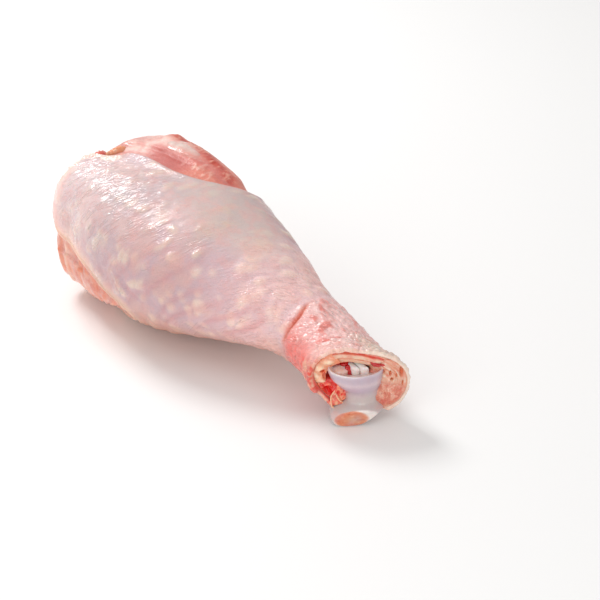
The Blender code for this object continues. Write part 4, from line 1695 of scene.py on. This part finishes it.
    def build(self) -> bpy.types.Object:
        """Knuckle, shaft and plateau as one piece.

        Returns:
            The finished piece.
        """
        return Shell.joined([self.knuckle(), self.shaft()]).to_object("shin_bone", self.finish)


# ---------------- what fills the hock


@dataclass(frozen=True)
class CutFace:
    """Places on a block's cut face: u and v, mm across and up the cut, and the points."""

    u: Array
    v: Array
    across: Array
    up: Array
    points: Array

    def spot(self, middle: tuple, size: tuple, power: float) -> Array:
        """An oval patch placed by mm across and up the cut."""
        return spot(self.across, self.up, middle, size, power)


@dataclass
class HockTissue:
    """A block of tissue between the knuckle and the hide, with a domed and dressed cut face.

    u runs across the block's degrees and v across its share of the radius, each from -1 to 1, over
    rings that grow out of the face's middle, turn over its soft edge and close at the back.
    """

    name: str
    degrees: tuple[float, float]
    inner: float
    front_t: float
    seed: int
    finish: TissueFinish
    dome: float = 0.5
    taper: float = 0.0
    edge_drop: float = 0.25
    outer: float = 1.05
    back_t: float = 0.93
    square: float = 9.0
    face_rings: int = 44
    around: int = 120
    side_rings: int = 8

    def relief(self, at: CutFace) -> Array:
        """How far the cut face stands out at each place, in mm."""
        raise NotImplementedError

    def paint(self, at: CutFace) -> Array:
        """The tint at each place."""
        raise NotImplementedError

    def build(self) -> bpy.types.Object:
        """Rings over the face, the edge and the back.

        Returns:
            The finished piece.
        """
        du, dv = rounded_section(self.around, self.square)
        face = np.linspace(0.0, 1.0, self.face_rings + 1)[1:, None] ** 0.85
        u, v = face * du, face * dv
        inner = self.inner + self.taper * (u + 1) / 2
        share = inner + (v + 1) / 2 * (self.outer - inner)
        phi = np.radians(np.mean(self.degrees) + u * np.ptp(self.degrees) / 2)
        front = BODY.in_hock(np.full_like(phi, self.front_t), phi, share)
        across, _, up = HOCK.read(front)
        at = CutFace(u, v, across, up, front)
        forward = self.dome * (1 - face**6) - self.edge_drop * face**18
        forward = forward + self.relief(at) * (1 - face**10)
        back = np.linspace(0.0, 1.0, self.side_rings + 1)[1:, None]
        t = self.front_t + back * (self.back_t - self.front_t)
        side = BODY.in_hock(t + 0 * phi[-1], phi[-1] + 0 * back, share[-1] + 0 * back)
        side = side - self.edge_drop * HOCK.out * (1 - back[..., None])
        points = np.concatenate([front + forward[..., None] * HOCK.out, side])
        tint = self.paint(at)
        tint = np.concatenate([tint, np.repeat(tint[-1:], len(back), axis=0)])
        wet = np.clip(0.85 + 0.3 * soft_noise(points / 2.0, self.seed + 9), 0.3, 1.0)
        return Shell.tube(points, tint, gloss(wet, 0.6)).to_object(self.name, self.finish)


@dataclass
class GristleFace(HockTissue):
    """The cut gristle on the far side: cream, with fibres that follow the rim and open vessels."""

    pits: tuple = (
        ((13.6, 4.4), (0.5, 1.1), 1.0), ((14.4, 1.4), (0.6, 0.7), 1.3),
        ((13.2, -1.6), (0.45, 0.55), 1.0),
        ((18.3, 5.4), (0.7, 2.3), 1.5), ((10.8, 5.2), (0.5, 1.1), 0.6), ((16.9, 9.4), (0.5, 0.9), 0.6),
        ((18.9, -1.0), (0.3, 1.8), 0.8), ((16.2, 3.2), (0.35, 0.9), 0.6),
    )  # fmt: skip

    def _fibres(self, at: CutFace) -> Array:
        """Fibres drawn out round the rim."""
        return sheet_noise(at.u * 2.2, at.v * 7.5, self.seed, 3)

    def relief(self, at: CutFace) -> Array:
        """Shallow fibres, and at each vessel a pit with a raised ring.

        Args:
            at: places on the face.

        Returns:
            Height in mm.
        """
        height = 0.42 * self._fibres(at) + 0.3 * noise(at.points / 3.0, 2, self.seed + 3)
        for middle, size, depth in self.pits:
            away = np.hypot((at.across - middle[0]) / size[0], (at.up - middle[1]) / size[1])
            height = height - depth * at.spot(middle, size, 2.2) + 0.3 * bump(away, 1.45, 0.3)
        return height

    def paint(self, at: CutFace) -> Array:
        """Cream with orange streaks, orange in the vessels.

        Args:
            at: places on the face.

        Returns:
            Tint out of 255.
        """
        fibres = self._fibres(at)
        mid = noise(at.points / 2.6, 2, self.seed + 5)
        tint = coats(
            even((230, 178, 154), at.points),
            ((224, 134, 102), ramp(0.0, 0.6, -fibres) * 0.8),
            ((246, 226, 208), ramp(0.15, 0.6, fibres) * 0.8),
            ((222, 128, 108), 0.6 * ramp(0.1, 0.6, mid)),
            ((224, 128, 106), 0.6 * ramp(-0.55, -0.95, at.u + 0.3 * mid)),
        )
        for middle, (wide, high), _ in self.pits:
            tint = coats(
                tint,
                ((236, 160, 124), 0.5 * at.spot(middle, (wide * 1.55, high * 1.4), 1.6)),
                ((226, 106, 58), 0.9 * at.spot(middle, (wide * 0.95, high * 0.95), 2.0)),
            )
        return tint


@dataclass
class GrainyPad(HockTissue):
    """The granular pink pad below the gristle."""

    def _grains(self, points: Array) -> Array:
        """Uneven grains: round bumps of two sizes, pushed about by noise."""
        warped = points + 0.6 * noise(points / 1.8, 2, self.seed + 5)[..., None]
        return 0.5 * mounds(warped / 1.5, self.seed, 0.7) + 0.5 * domes(warped / 1.0, self.seed + 2, 0.5)

    def relief(self, at: CutFace) -> Array:
        """Grains a millimetre or two across, over slow swells."""
        return 0.7 * (self._grains(at.points) - 0.5) + 0.6 * noise(at.points / 4.5, 2, self.seed + 1)

    def paint(self, at: CutFace) -> Array:
        """Salmon grains with paler tops and redder joints, paler by the lip and the gristle.

        Args:
            at: places on the face.

        Returns:
            Tint out of 255.
        """
        slow = noise(at.points / 3.2, 2, self.seed + 3)
        pale = np.maximum(ramp(0.7, 0.98, at.v), ramp(0.72, 1.0, at.u))
        return coats(
            even((208, 98, 76), at.points),
            ((232, 164, 136), self._grains(at.points)),
            ((218, 92, 76), 0.6 * ramp(0.05, 0.45, slow)),
            ((246, 206, 184), 0.6 * ramp(0.0, -0.4, slow)),
            ((242, 200, 178), 0.75 * pale),
        )


@dataclass
class SheathLayers(HockTissue):
    """Cream layers under the lip on top, with a red line between them."""

    def _wave(self, at: CutFace) -> Array:
        """Height through the layers, wavy along them."""
        return at.v + 0.10 * soft_noise(at.points / 3.5, self.seed)

    def relief(self, at: CutFace) -> Array:
        """Steps from layer to layer, with a groove along the red line.

        Args:
            at: places on the face.

        Returns:
            Height in mm.
        """
        wave = self._wave(at)
        steps = 0.9 * ramp(-0.35, -0.15, wave) - 1.3 * bump(wave, 0.62, 0.13)
        return steps - 0.6 * bump(wave, -0.28, 0.1) + 0.3 * noise(at.points / 2.2, 2, self.seed + 1)

    def paint(self, at: CutFace) -> Array:
        """Cream, pink between the layers, red in the groove, and dark red along the underside, partly
        painted shade under the lip.

        Args:
            at: places on the face.

        Returns:
            Tint out of 255.
        """
        wave = self._wave(at)
        mid = noise(at.points / 2.4, 2, self.seed + 4)
        return coats(
            even((240, 204, 178), at.points),
            ((232, 150, 126), 0.6 * ramp(0.0, 0.6, mid)),
            ((236, 72, 60), 0.95 * bump(wave, 0.66, 0.20)),
            ((236, 128, 104), 0.8 * bump(wave, -0.28, 0.14)),
            # dark red along the underside at the near end: red tissue with painted shade from the
            # overhanging lip
            ((190, 34, 30), ramp(-0.72, -0.98, at.v) * ramp(-2.5, -6.0, at.across) * 0.95),
        )


@dataclass
class FatLumps(HockTissue):
    """The lumps of fat on the near side, with open vessels between them."""

    lumps: tuple = (
        ((-16.6, 6.2), (2.9, 2.5), 1.9), ((-15.4, -1.6), (3.0, 2.8), 1.9),
        ((-19.6, 2.4), (2.0, 3.2), 1.1), ((-12.6, 9.0), (2.6, 1.6), 1.0),
        ((-17.4, 1.6), (1.8, 1.6), 1.2),
    )  # fmt: skip
    pits: tuple = (
        ((-14.9, 4.3), (0.95, 0.95), 1.8), ((-20.9, -0.4), (0.9, 1.1), 1.4),
        ((-13.9, 1.8), (0.8, 1.2), 1.2),
    )  # fmt: skip

    def relief(self, at: CutFace) -> Array:
        """Domes for the lumps and pits for the vessels.

        Args:
            at: places on the face.

        Returns:
            Height in mm.
        """
        height = -0.6 + 0.35 * noise(at.points / 2.4, 2, self.seed)
        for middle, size, tall in self.lumps:
            height = np.maximum(height, tall * at.spot(middle, size, 1.6) - 0.4)
        for middle, size, depth in self.pits:
            height = height - depth * at.spot(middle, size, 2.0)
        return height

    def paint(self, at: CutFace) -> Array:
        """Cream lumps, orange between them, red-orange in the vessels.

        Args:
            at: places on the face.

        Returns:
            Tint out of 255.
        """
        blotch = noise(at.points / 2.0, 2, self.seed + 2)
        holes = [(middle, (wide * 1.2, high * 1.2)) for middle, (wide, high), _ in self.pits]
        return coats(
            even((246, 152, 114), at.points),
            *(((255, 224, 194), 0.95 * at.spot(middle, size, 1.8)) for middle, size, _ in self.lumps),
            ((246, 170, 134), 0.45 * ramp(0.1, 0.6, blotch)),
            *(((224, 74, 34), at.spot(middle, size, 1.6)) for middle, size in holes),
        )


@dataclass
class TornFlesh(HockTissue):
    """The torn flesh low on the near side: red in its clefts and orange-pink on its ridges."""

    def _ridges(self, at: CutFace) -> Array:
        """Sharp crests: 1 less twice the size of some noise."""
        return 1 - np.abs(noise(at.points / 3.4, 3, self.seed)) * 2

    def relief(self, at: CutFace) -> Array:
        """Rough ridges, and one deep cleft under the fat."""
        return 1.3 * (self._ridges(at) - 0.5) - 2.4 * at.spot((-13.6, -7.2), (2.6, 3.4), 1.4)

    def paint(self, at: CutFace) -> Array:
        """Red where it is deep, orange-pink and cream where it stands.

        Args:
            at: places on the face.

        Returns:
            Tint out of 255.
        """
        ridges = self._ridges(at)
        return coats(
            even((232, 56, 44), at.points),
            ((246, 138, 100), ramp(0.4, 0.85, ridges)),
            ((246, 186, 150), 0.6 * ramp(0.78, 0.95, ridges)),
            ((236, 18, 18), 0.95 * at.spot((-12.8, -6.6), (4.0, 4.2), 1.4)),
            ((240, 146, 112), 0.6 * ramp(0.6, 0.95, at.v)),
        )


# ---------------- small pieces


def hock_path(knots: tuple, count: int) -> Array:
    """A smooth path in the hock through a few (across, out, up), by one curve on each coordinate."""
    table = np.array(knots, float)
    return HOCK.place(*curves(table, np.linspace(0, len(table) - 1, count)))


def plain(points: Array, tint: Colour, fine: float = 0.5) -> tuple[Array, Array]:
    """An even tint and a wet mask for a grid of points."""
    return even(tint, points), gloss(np.ones(points.shape[:-1]), fine)


@dataclass
class Tendon:
    """A flat tendon that comes out of the meat over the knuckle and ends in a cut stub."""

    name: str
    across: float
    up: float
    half_width: float
    out: float
    half_height: float = 2.2
    run: tuple = ((24, 0.5, 4.4), (18, 0.9, 3.4), (8, 1.0, 1.2), (0, 1.0, 0.0))  # mm back, size, lift
    drift: float = 0.12
    white: Colour = (255, 253, 250)
    shade: Colour = (240, 226, 226)
    root: Colour = (236, 170, 160)
    finish: TissueFinish = TissueFinish(
        "Tendon", deep=(244, 232, 230), vein=(240, 214, 206), blotches=(1.6, 0.25),
        grain=(0.3, 0.04), vein_share=0.0, rough=(0.32, 0.18, 0.08), relief=0.06,
        relief_size=(3.0, 0.35, 0.35), lean=(0.0, 0.0, 0.1), glow=(0.3, 1.2),
    )  # fmt: skip

    def build(self) -> bpy.types.Object:
        """Soft-cornered sections along the run, shrunk over the last half millimetre of the cut end.

        Returns:
            The finished piece.
        """
        back, size, lift = (np.array(column)[::-1] for column in zip(*self.run))
        at = np.concatenate([[0.0, 0.12, 0.35, 0.7], np.linspace(1.2, 24.0, 30)])
        grow = smooth_curve(back, size, at) * (1 - 0.45 * np.exp(-at / 0.16))
        rise = smooth_curve(back, lift, at)
        du, dw = rounded_section(28, 3.6)
        u = self.across + self.half_width * grow[:, None] * du
        w = self.up + rise[:, None] + self.half_height * grow[:, None] * dw
        start = HOCK.middle + self.out * HOCK.out - np.stack([at, -at * self.drift, 0 * at], axis=-1)
        points = start[:, None] + u[..., None] * HOCK.across + w[..., None] * HOCK.up
        grit = soft_noise(points / 0.9, 151)
        points = points + 0.12 * grit[..., None] * HOCK.up
        tint, mask = plain(points, self.white)
        tint = coats(
            tint,
            (self.shade, ramp(0.1, 0.7, grit)),
            (self.root, 0.5 * ramp(3.0, 9.0, at)[:, None] + 0 * grit),
        )
        return Shell.tube(points, tint, mask).to_object(self.name, self.finish)


@dataclass
class Blobs:
    """Soft lumps or drops in the hock, each with its middle and half sizes as (across, out, up)."""

    name: str
    blobs: tuple
    seed: int
    tint: Colour
    finish: TissueFinish
    rings: int = 26
    around: int = 40

    def build(self) -> bpy.types.Object:
        """Ellipsoids with noisy surfaces, joined as one piece.

        Returns:
            The finished piece.
        """
        turn = np.linspace(0.0, math.pi, self.rings)[1:-1, None]
        around = circle_angles(self.around)[None, :]
        ball = np.sin(turn) * np.cos(around), np.sin(turn) * np.sin(around), -np.cos(turn)
        unit = np.stack(np.broadcast_arrays(*ball), axis=-1)
        shells = []
        for k, (middle, size) in enumerate(self.blobs):
            uneven = 1 + 0.22 * noise(unit * 1.7 + 5 * k, 2, self.seed)
            grown = unit * np.array(size) * uneven[..., None]
            points = HOCK.place(*(grown + np.array(middle)).transpose(2, 0, 1))
            shells.append(Shell.tube(points, *plain(points, self.tint)))
        return Shell.joined(shells).to_object(self.name, self.finish)


@dataclass
class SurfacePad:
    """A low pad of fat or film that lies on the meat: a lobed lens over a patch of its surface."""

    name: str
    middle: tuple[float, float]  # t and degrees
    reach: tuple[float, float]
    height: float
    lobes: tuple[float, float]  # size and height
    low: Colour
    high: Colour
    finish: TissueFinish
    seed: int
    rim: Colour | None = None
    power: float = 0.5
    sink: float = 0.9
    rings: int = 54
    around: int = 110

    def build(self) -> bpy.types.Object:
        """Rings over the top, round the thin edge and under.

        The top stands height * (1 - r^2)^power over the meat, broken into rounded lobes; the
        outline wanders by a tenth or two.

        Returns:
            The finished piece.
        """
        around = circle_angles(self.around)[None, :]
        c, s = np.cos(around), np.sin(around)
        outline = 1 + 0.16 * sheet_noise(c * 1.8, s * 1.8, self.seed, 3)
        over = np.linspace(0.0, 1.0, self.rings + 1)[1:, None] ** 0.8
        r = np.concatenate([over, np.array([0.9, 0.6, 0.3])[:, None]])
        side = np.concatenate([np.ones_like(over), -np.ones((3, 1))])
        t = self.middle[0] + self.reach[0] * r * outline * c
        phi = np.radians(self.middle[1] + self.reach[1] * r * outline * s)
        depth = BODY.meat_depth(t, phi)
        base = BODY.layer(t, phi, depth)
        lobe = mounds(base / self.lobes[0], self.seed, 0.55)
        dome = np.maximum(1 - r**2, 0.0) ** self.power
        top = self.height * dome + self.lobes[1] * (lobe - 0.4) * np.sqrt(dome)
        points = BODY.layer(t, phi, depth - (np.where(side > 0, top, -0.6) - self.sink * (1 - dome)))
        mid = noise(points / 3.0, 2, self.seed + 7)
        tint = blend(even(self.low, points), self.high, np.clip(0.15 + lobe * dome + 0.3 * mid, 0, 1))
        if self.rim is not None:
            tint = blend(tint, self.rim, ramp(0.45, 0.95, r + 0.3 * mid))
        mask = gloss(np.clip(0.85 + 0.3 * mid, 0.3, 1.0), 0.5)
        return Shell.tube(points, tint, mask).to_object(self.name, self.finish)


BLOOD = TissueFinish(
    "Blood", deep=(150, 8, 12), vein=(226, 60, 50), blotches=(1.4, 0.5), grain=(0.3, 0.08),
    vein_share=0.0, rough=(0.2, 0.08, 0.03), relief=0.05, relief_size=(0.8, 0.8, 0.8),
    glow=(0.1, 0.8),
)  # fmt: skip
FAT = TissueFinish(
    "Fat", deep=(238, 178, 138), vein=(230, 150, 130), blotches=(2.6, 0.4), grain=(0.4, 0.05),
    vein_share=0.15, rough=(0.42, 0.2, 0.08), relief=0.07, relief_size=(0.8, 0.8, 0.8),
    glow=(0.3, 1.6),
)  # fmt: skip
GRISTLE = TissueFinish(
    "Cut gristle", deep=(232, 166, 134), vein=(216, 120, 90), blotches=(2.4, 0.3),
    grain=(0.35, 0.06), vein_share=0.1, rough=(0.42, 0.22, 0.09), relief=0.09,
    relief_size=(0.45, 0.45, 2.4), glow=(0.22, 1.4),
)  # fmt: skip
FLESH = TissueFinish(
    "Torn flesh", deep=(196, 40, 34), vein=(244, 196, 170), blotches=(2.2, 0.5), grain=(0.4, 0.08),
    vein_share=0.2, rough=(0.34, 0.14, 0.06), relief=0.10, relief_size=(0.9, 0.7, 0.7),
    glow=(0.18, 1.4),
)  # fmt: skip
FILM = TissueFinish(
    "Silver film", deep=(230, 170, 162), vein=(246, 230, 226), blotches=(5.0, 0.3),
    grain=(0.5, 0.04), vein_share=0.3, rough=(0.4, 0.3, 0.2), relief=0.07,
    relief_size=(7.0, 0.9, 0.9) , glow=(0.2, 1.6),
)  # fmt: skip


@dataclass
class Strands:
    """Thin cords of tissue, each route given as (across, out, up) in the hock."""

    name: str
    routes: tuple
    radius: float
    tint: Colour
    finish: TissueFinish
    seed: int
    steps: int = 60
    around: int = 14
    lift: tuple = (0.3, 0.2, 0.93)

    def build(self) -> bpy.types.Object:
        """A flat oval carried along each route, lying across it, thinner towards both ends.

        Returns:
            The finished piece, all its strands joined.
        """
        share = np.linspace(0, 1, self.steps)
        size = self.radius * (0.35 + 0.65 * np.sin(math.pi * np.clip(share, 0.03, 0.97)) ** 0.4)
        du, dw = rounded_section(self.around, 2.0)
        shells = []
        for seed, route in enumerate(self.routes, self.seed):
            path = hock_path(route, self.steps)
            stray = np.stack([soft_noise(path / 2.2, seed + 10 * axis) for axis in range(3)], axis=-1)
            path = path + 0.25 * stray
            along = np.gradient(path, axis=0)
            along /= np.linalg.norm(along, axis=-1, keepdims=True)
            side = np.cross(along, np.array(self.lift))
            side /= np.linalg.norm(side, axis=-1, keepdims=True)
            top = np.cross(side, along)
            rings = path[:, None] + (size[:, None] * du)[..., None] * side[:, None]
            rings = rings + ((size * 0.75)[:, None] * dw)[..., None] * top[:, None]
            uneven = 1 + 0.14 * soft_noise(rings / 1.3, seed)
            rings = path[:, None] + (rings - path[:, None]) * uneven[..., None]
            shells.append(Shell.tube(rings, *plain(rings, self.tint)))
        return Shell.joined(shells).to_object(self.name, self.finish)


@dataclass
class Web:
    """A thin sheet of torn tissue stretched between two routes in the hock."""

    name: str
    left: tuple
    right: tuple
    half_thickness: float
    finish: TissueFinish
    seed: int
    tint: Colour = (236, 110, 82)
    ridge: Colour = (244, 170, 130)
    steps: int = 40
    around: int = 48

    def build(self) -> bpy.types.Object:
        """Flat soft-edged sections from one route to the other.

        Returns:
            The finished piece.
        """
        left, right = (hock_path(route, self.steps) for route in (self.left, self.right))
        du, dw = rounded_section(self.around, 2.4)
        middle, half = (left + right) / 2, (right - left) / 2
        thin = self.half_thickness * np.sin(math.pi * np.linspace(0.04, 0.96, self.steps)) ** 0.5
        rings = middle[:, None] + half[:, None] * du[None, :, None]
        rings = rings + (thin[:, None] * dw)[..., None] * HOCK.out
        rings = rings + 0.35 * soft_noise(rings / 1.4, self.seed)[..., None] * HOCK.out
        tint, mask = plain(rings, self.tint, 0.6)
        tint = blend(tint, self.ridge, ramp(0.0, 0.5, noise(rings / 1.6, 2, self.seed + 1)))
        return Shell.tube(rings, tint, mask).to_object(self.name, self.finish)


# ---------------- the studio


@dataclass
class Studio:
    """A pale floor, a large soft key light from the left, soft fills and the camera."""

    aim: tuple = (0.02148, 0.01995, 0.0223)
    azimuth: float = 47
    elevation: float = 30.5
    distance: float = 0.86
    lens: float = 114.0
    floor_size: float = 6.0
    floor_colour: tuple = (0.95, 0.945, 0.94, 1)
    floor_roughness: float = 0.6
    world: float = 0.52
    world_colour: tuple = (1.0, 0.99, 0.98, 1)
    lamp_aim: tuple = (0, 0, 0.03)
    lights: tuple = (  # name, azimuth, elevation, distance, size, power
        ("key", -92, 47, 0.95, 0.34, 5.0), ("overhead", 20, 78, 1.1, 1.1, 1.6),
        ("fill", 14, 30, 1.3, 0.7, 2.5), ("glint", 56, 14, 0.8, 0.3, 1.0),
    )  # fmt: skip

    @staticmethod
    def _aimed(name: str, data: bpy.types.ID, place: tuple, target: tuple) -> bpy.types.Object:
        """A light or camera that looks at its target from an azimuth, elevation and distance.

        Args:
            name: the object's name.
            data: the light or camera.
            place: azimuth in degrees (0 looks along +Y), elevation in degrees, distance in metres.
            target: where it looks.

        Returns:
            The object.
        """
        azimuth, elevation, distance = math.radians(place[0]), math.radians(place[1]), place[2]
        flat = math.cos(elevation)
        back = Vector((math.sin(azimuth) * flat, -math.cos(azimuth) * flat, math.sin(elevation)))
        thing = bpy.data.objects.new(name, data)
        thing.location = Vector(target) + back * distance
        thing.rotation_euler = back.to_track_quat("Z", "Y").to_euler()
        bpy.context.scene.collection.objects.link(thing)
        return thing

    def _floor(self) -> None:
        """A square of pale paper."""
        half = self.floor_size / 2
        mesh = bpy.data.meshes.new("floor")
        corners = [(-half, -half, 0), (half, -half, 0), (half, half, 0), (-half, half, 0)]
        mesh.from_pydata(corners, [], [(0, 1, 2, 3)])
        paper = bpy.data.materials.new("Pale floor")
        paper.use_nodes = True
        shader = paper.node_tree.nodes["Principled BSDF"]
        shader.inputs["Base Color"].default_value = self.floor_colour
        shader.inputs["Roughness"].default_value = self.floor_roughness
        mesh.materials.append(paper)
        floor = bpy.data.objects.new("floor", mesh)
        bpy.context.scene.collection.objects.link(floor)

    def build(self) -> None:
        """Floor, world, lights and camera."""
        self._floor()
        scene = bpy.context.scene
        scene.world = bpy.data.worlds.new("Studio")
        scene.world.use_nodes = True
        background = scene.world.node_tree.nodes["Background"].inputs
        background[0].default_value = self.world_colour
        background[1].default_value = self.world
        for name, azimuth, elevation, distance, size, power in self.lights:
            lamp = bpy.data.lights.new(name, "AREA")
            lamp.shape, lamp.size, lamp.energy = "SQUARE", size, power
            self._aimed(name, lamp, (azimuth, elevation, distance), self.lamp_aim)
        lens = bpy.data.cameras.new("camera")
        lens.lens = self.lens
        place = (self.azimuth, self.elevation, self.distance)
        scene.camera = self._aimed("camera", lens, place, self.aim)
        scene.view_settings.view_transform = "Standard"


# ---------------- the whole leg


def pieces() -> list[tuple]:
    """Every piece of the leg: its maker, a material slot name, and the node that it stands for.

    Returns:
        Tuples of (maker, slot) or (maker, slot, node), from the hide inwards.
    """
    tissues = {
        "hock_gristle": GristleFace(
            "gristle_face", (-13, 54), 0.46, 0.998, 211, GRISTLE, edge_drop=-0.1
        ),
        "hock_pad": GrainyPad("grainy_pad", (-62, -6), 0.44, 0.999, 223, GRISTLE, 0.7, edge_drop=0.5),
        "hock_sheath": SheathLayers("sheath_layers", (50, 134), 0.55, 0.991, 227, FAT),
        "hock_fat": FatLumps("fat_lumps", (128, 203), 0.62, 0.998, 229, FAT, taper=0.16),
        "hock_flesh": TornFlesh("torn_flesh", (199, 250), 0.40, 0.997, 233, FLESH, 0.8),
    }
    clots = (
        ((-3.6, -2.0, 3.2), (1.1, 1.0, 2.2)), ((-4.0, -2.6, 5.0), (1.3, 1.1, 1.8)),
        ((-5.4, -4.4, 6.2), (1.9, 1.3, 1.1)), ((-8.4, -5.6, 6.4), (2.6, 1.2, 0.9)),
        ((-2.8, -1.2, 1.9), (0.9, 0.8, 0.9)),
    )  # fmt: skip
    drops = (
        ((6.6, -0.4, 8.9), (1.5, 0.9, 0.9)), ((8.6, -0.1, 7.9), (2.2, 0.9, 0.75)),
        ((7.4, -0.3, 8.2), (1.6, 0.9, 1.2)), ((10.4, 0.1, 8.1), (1.0, 0.7, 0.6)),
    )  # fmt: skip
    pulp = (
        ((-7.6, -6.8, 5.4), (4.2, 1.8, 2.6)), ((6.6, -7.2, 5.2), (4.2, 1.8, 2.4)),
        ((-3.0, -8.0, 5.6), (3.0, 1.6, 2.6)), ((7.6, -3.6, 3.2), (2.9, 3.4, 2.0)),
    )  # fmt: skip
    cushion = (((-7.4, -3.6, 3.3), (3.9, 4.0, 2.3)), ((-1.2, -4.6, 2.6), (3.6, 2.6, 1.6)))
    left = (
        (-9.6, -1.2, -5.2), (-11.2, -0.4, -8.6), (-10.9, 0.0, -12.2), (-8.6, 0.3, -13.2),
        (-5.6, 0.2, -12.6),
    )  # fmt: skip
    right = ((-9.4, -1.2, -5.4), (-8.2, -0.2, -8.4), (-6.4, 0.1, -11.0), (-5.2, 0.2, -12.8))
    red, salmon, rose, cream = (212, 84, 72), (236, 150, 132), (228, 186, 176), (248, 222, 186)
    strip, film, curl, knee = (
        SurfacePad("edge_strip", (0.126, 104), (0.022, 6), 2.4, (3.5, 0.5), red, salmon, FLESH, 287),
        SurfacePad(
            "fascia_film", (0.232, 67.5), (0.086, 7.5), 0.45, (7, 0.3), rose, (232, 208, 198), FILM, 257
        ),
        SurfacePad(
            "fat_tag_curl", (0.143, 93), (0.009, 9), 2.2, (3, 0.6), (236, 140, 98), (250, 220, 194), FAT, 263
        ),
        SurfacePad(
            "knee_fat_pad", (0.112, -26), (0.056, 17), 4.6, (9.5, 1.1), (238, 190, 146), cream, FAT, 269
        ),
    )
    film.rim = (222, 146, 134)
    return [
        (Hide(), "skin", "skin"),
        (Meat(), "meat", "meat"),
        (ShinBone(), "bone", "bone"),
        *((tissue, node, node) for node, tissue in tissues.items()),
        (Tendon("tendon_left", -0.6, 4.2, 1.65, -0.7), "tendon", "tendon_1"),
        (Tendon("tendon_right", 3.3, 4.3, 1.75, -0.4), "tendon", "tendon_2"),
        (Blobs("blood_clot", clots, 241, (204, 22, 26), BLOOD), "clot", "clot"),
        (Blobs("blood_drops", drops, 251, (204, 22, 26), BLOOD), "clot"),
        (Blobs("hock_pulp", pulp, 253, (244, 150, 128), FLESH), "hock_flesh"),
        (Blobs("bowl_cushion", cushion, 259, (252, 222, 214), FAT), "hock_fat"),
        (strip, "meat"),
        (film, "fascia", "fascia"),
        (curl, "fat_tag", "fat_tag"),
        (knee, "knee_fat", "knee_fat"),
        (Strands("hock_strand", (left, right), 0.5, (248, 184, 146), FAT, 271), "hock_fat"),
        (Web("hock_web", left[:3], right[:3], 0.4, FLESH, 277), "hock_flesh"),
    ]


def add(piece: bpy.types.Object, slot: str, *nodes: str) -> None:
    """Make a piece part of the leg.

    Args:
        piece: the finished piece.
        slot: not used.
        nodes: the CAD nodes that it stands for.
    """
    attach(piece, "root")
    if nodes:
        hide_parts(*nodes)
    log.info("%s: %d faces", piece.name, len(piece.data.polygons))


def main() -> None:
    """Build the leg from the hide inwards, then the studio, and note the sizes."""
    for maker, slot, *nodes in pieces():
        add(maker.build(), slot, *nodes)
    Studio().build()


if __name__ == "__main__":
    main()
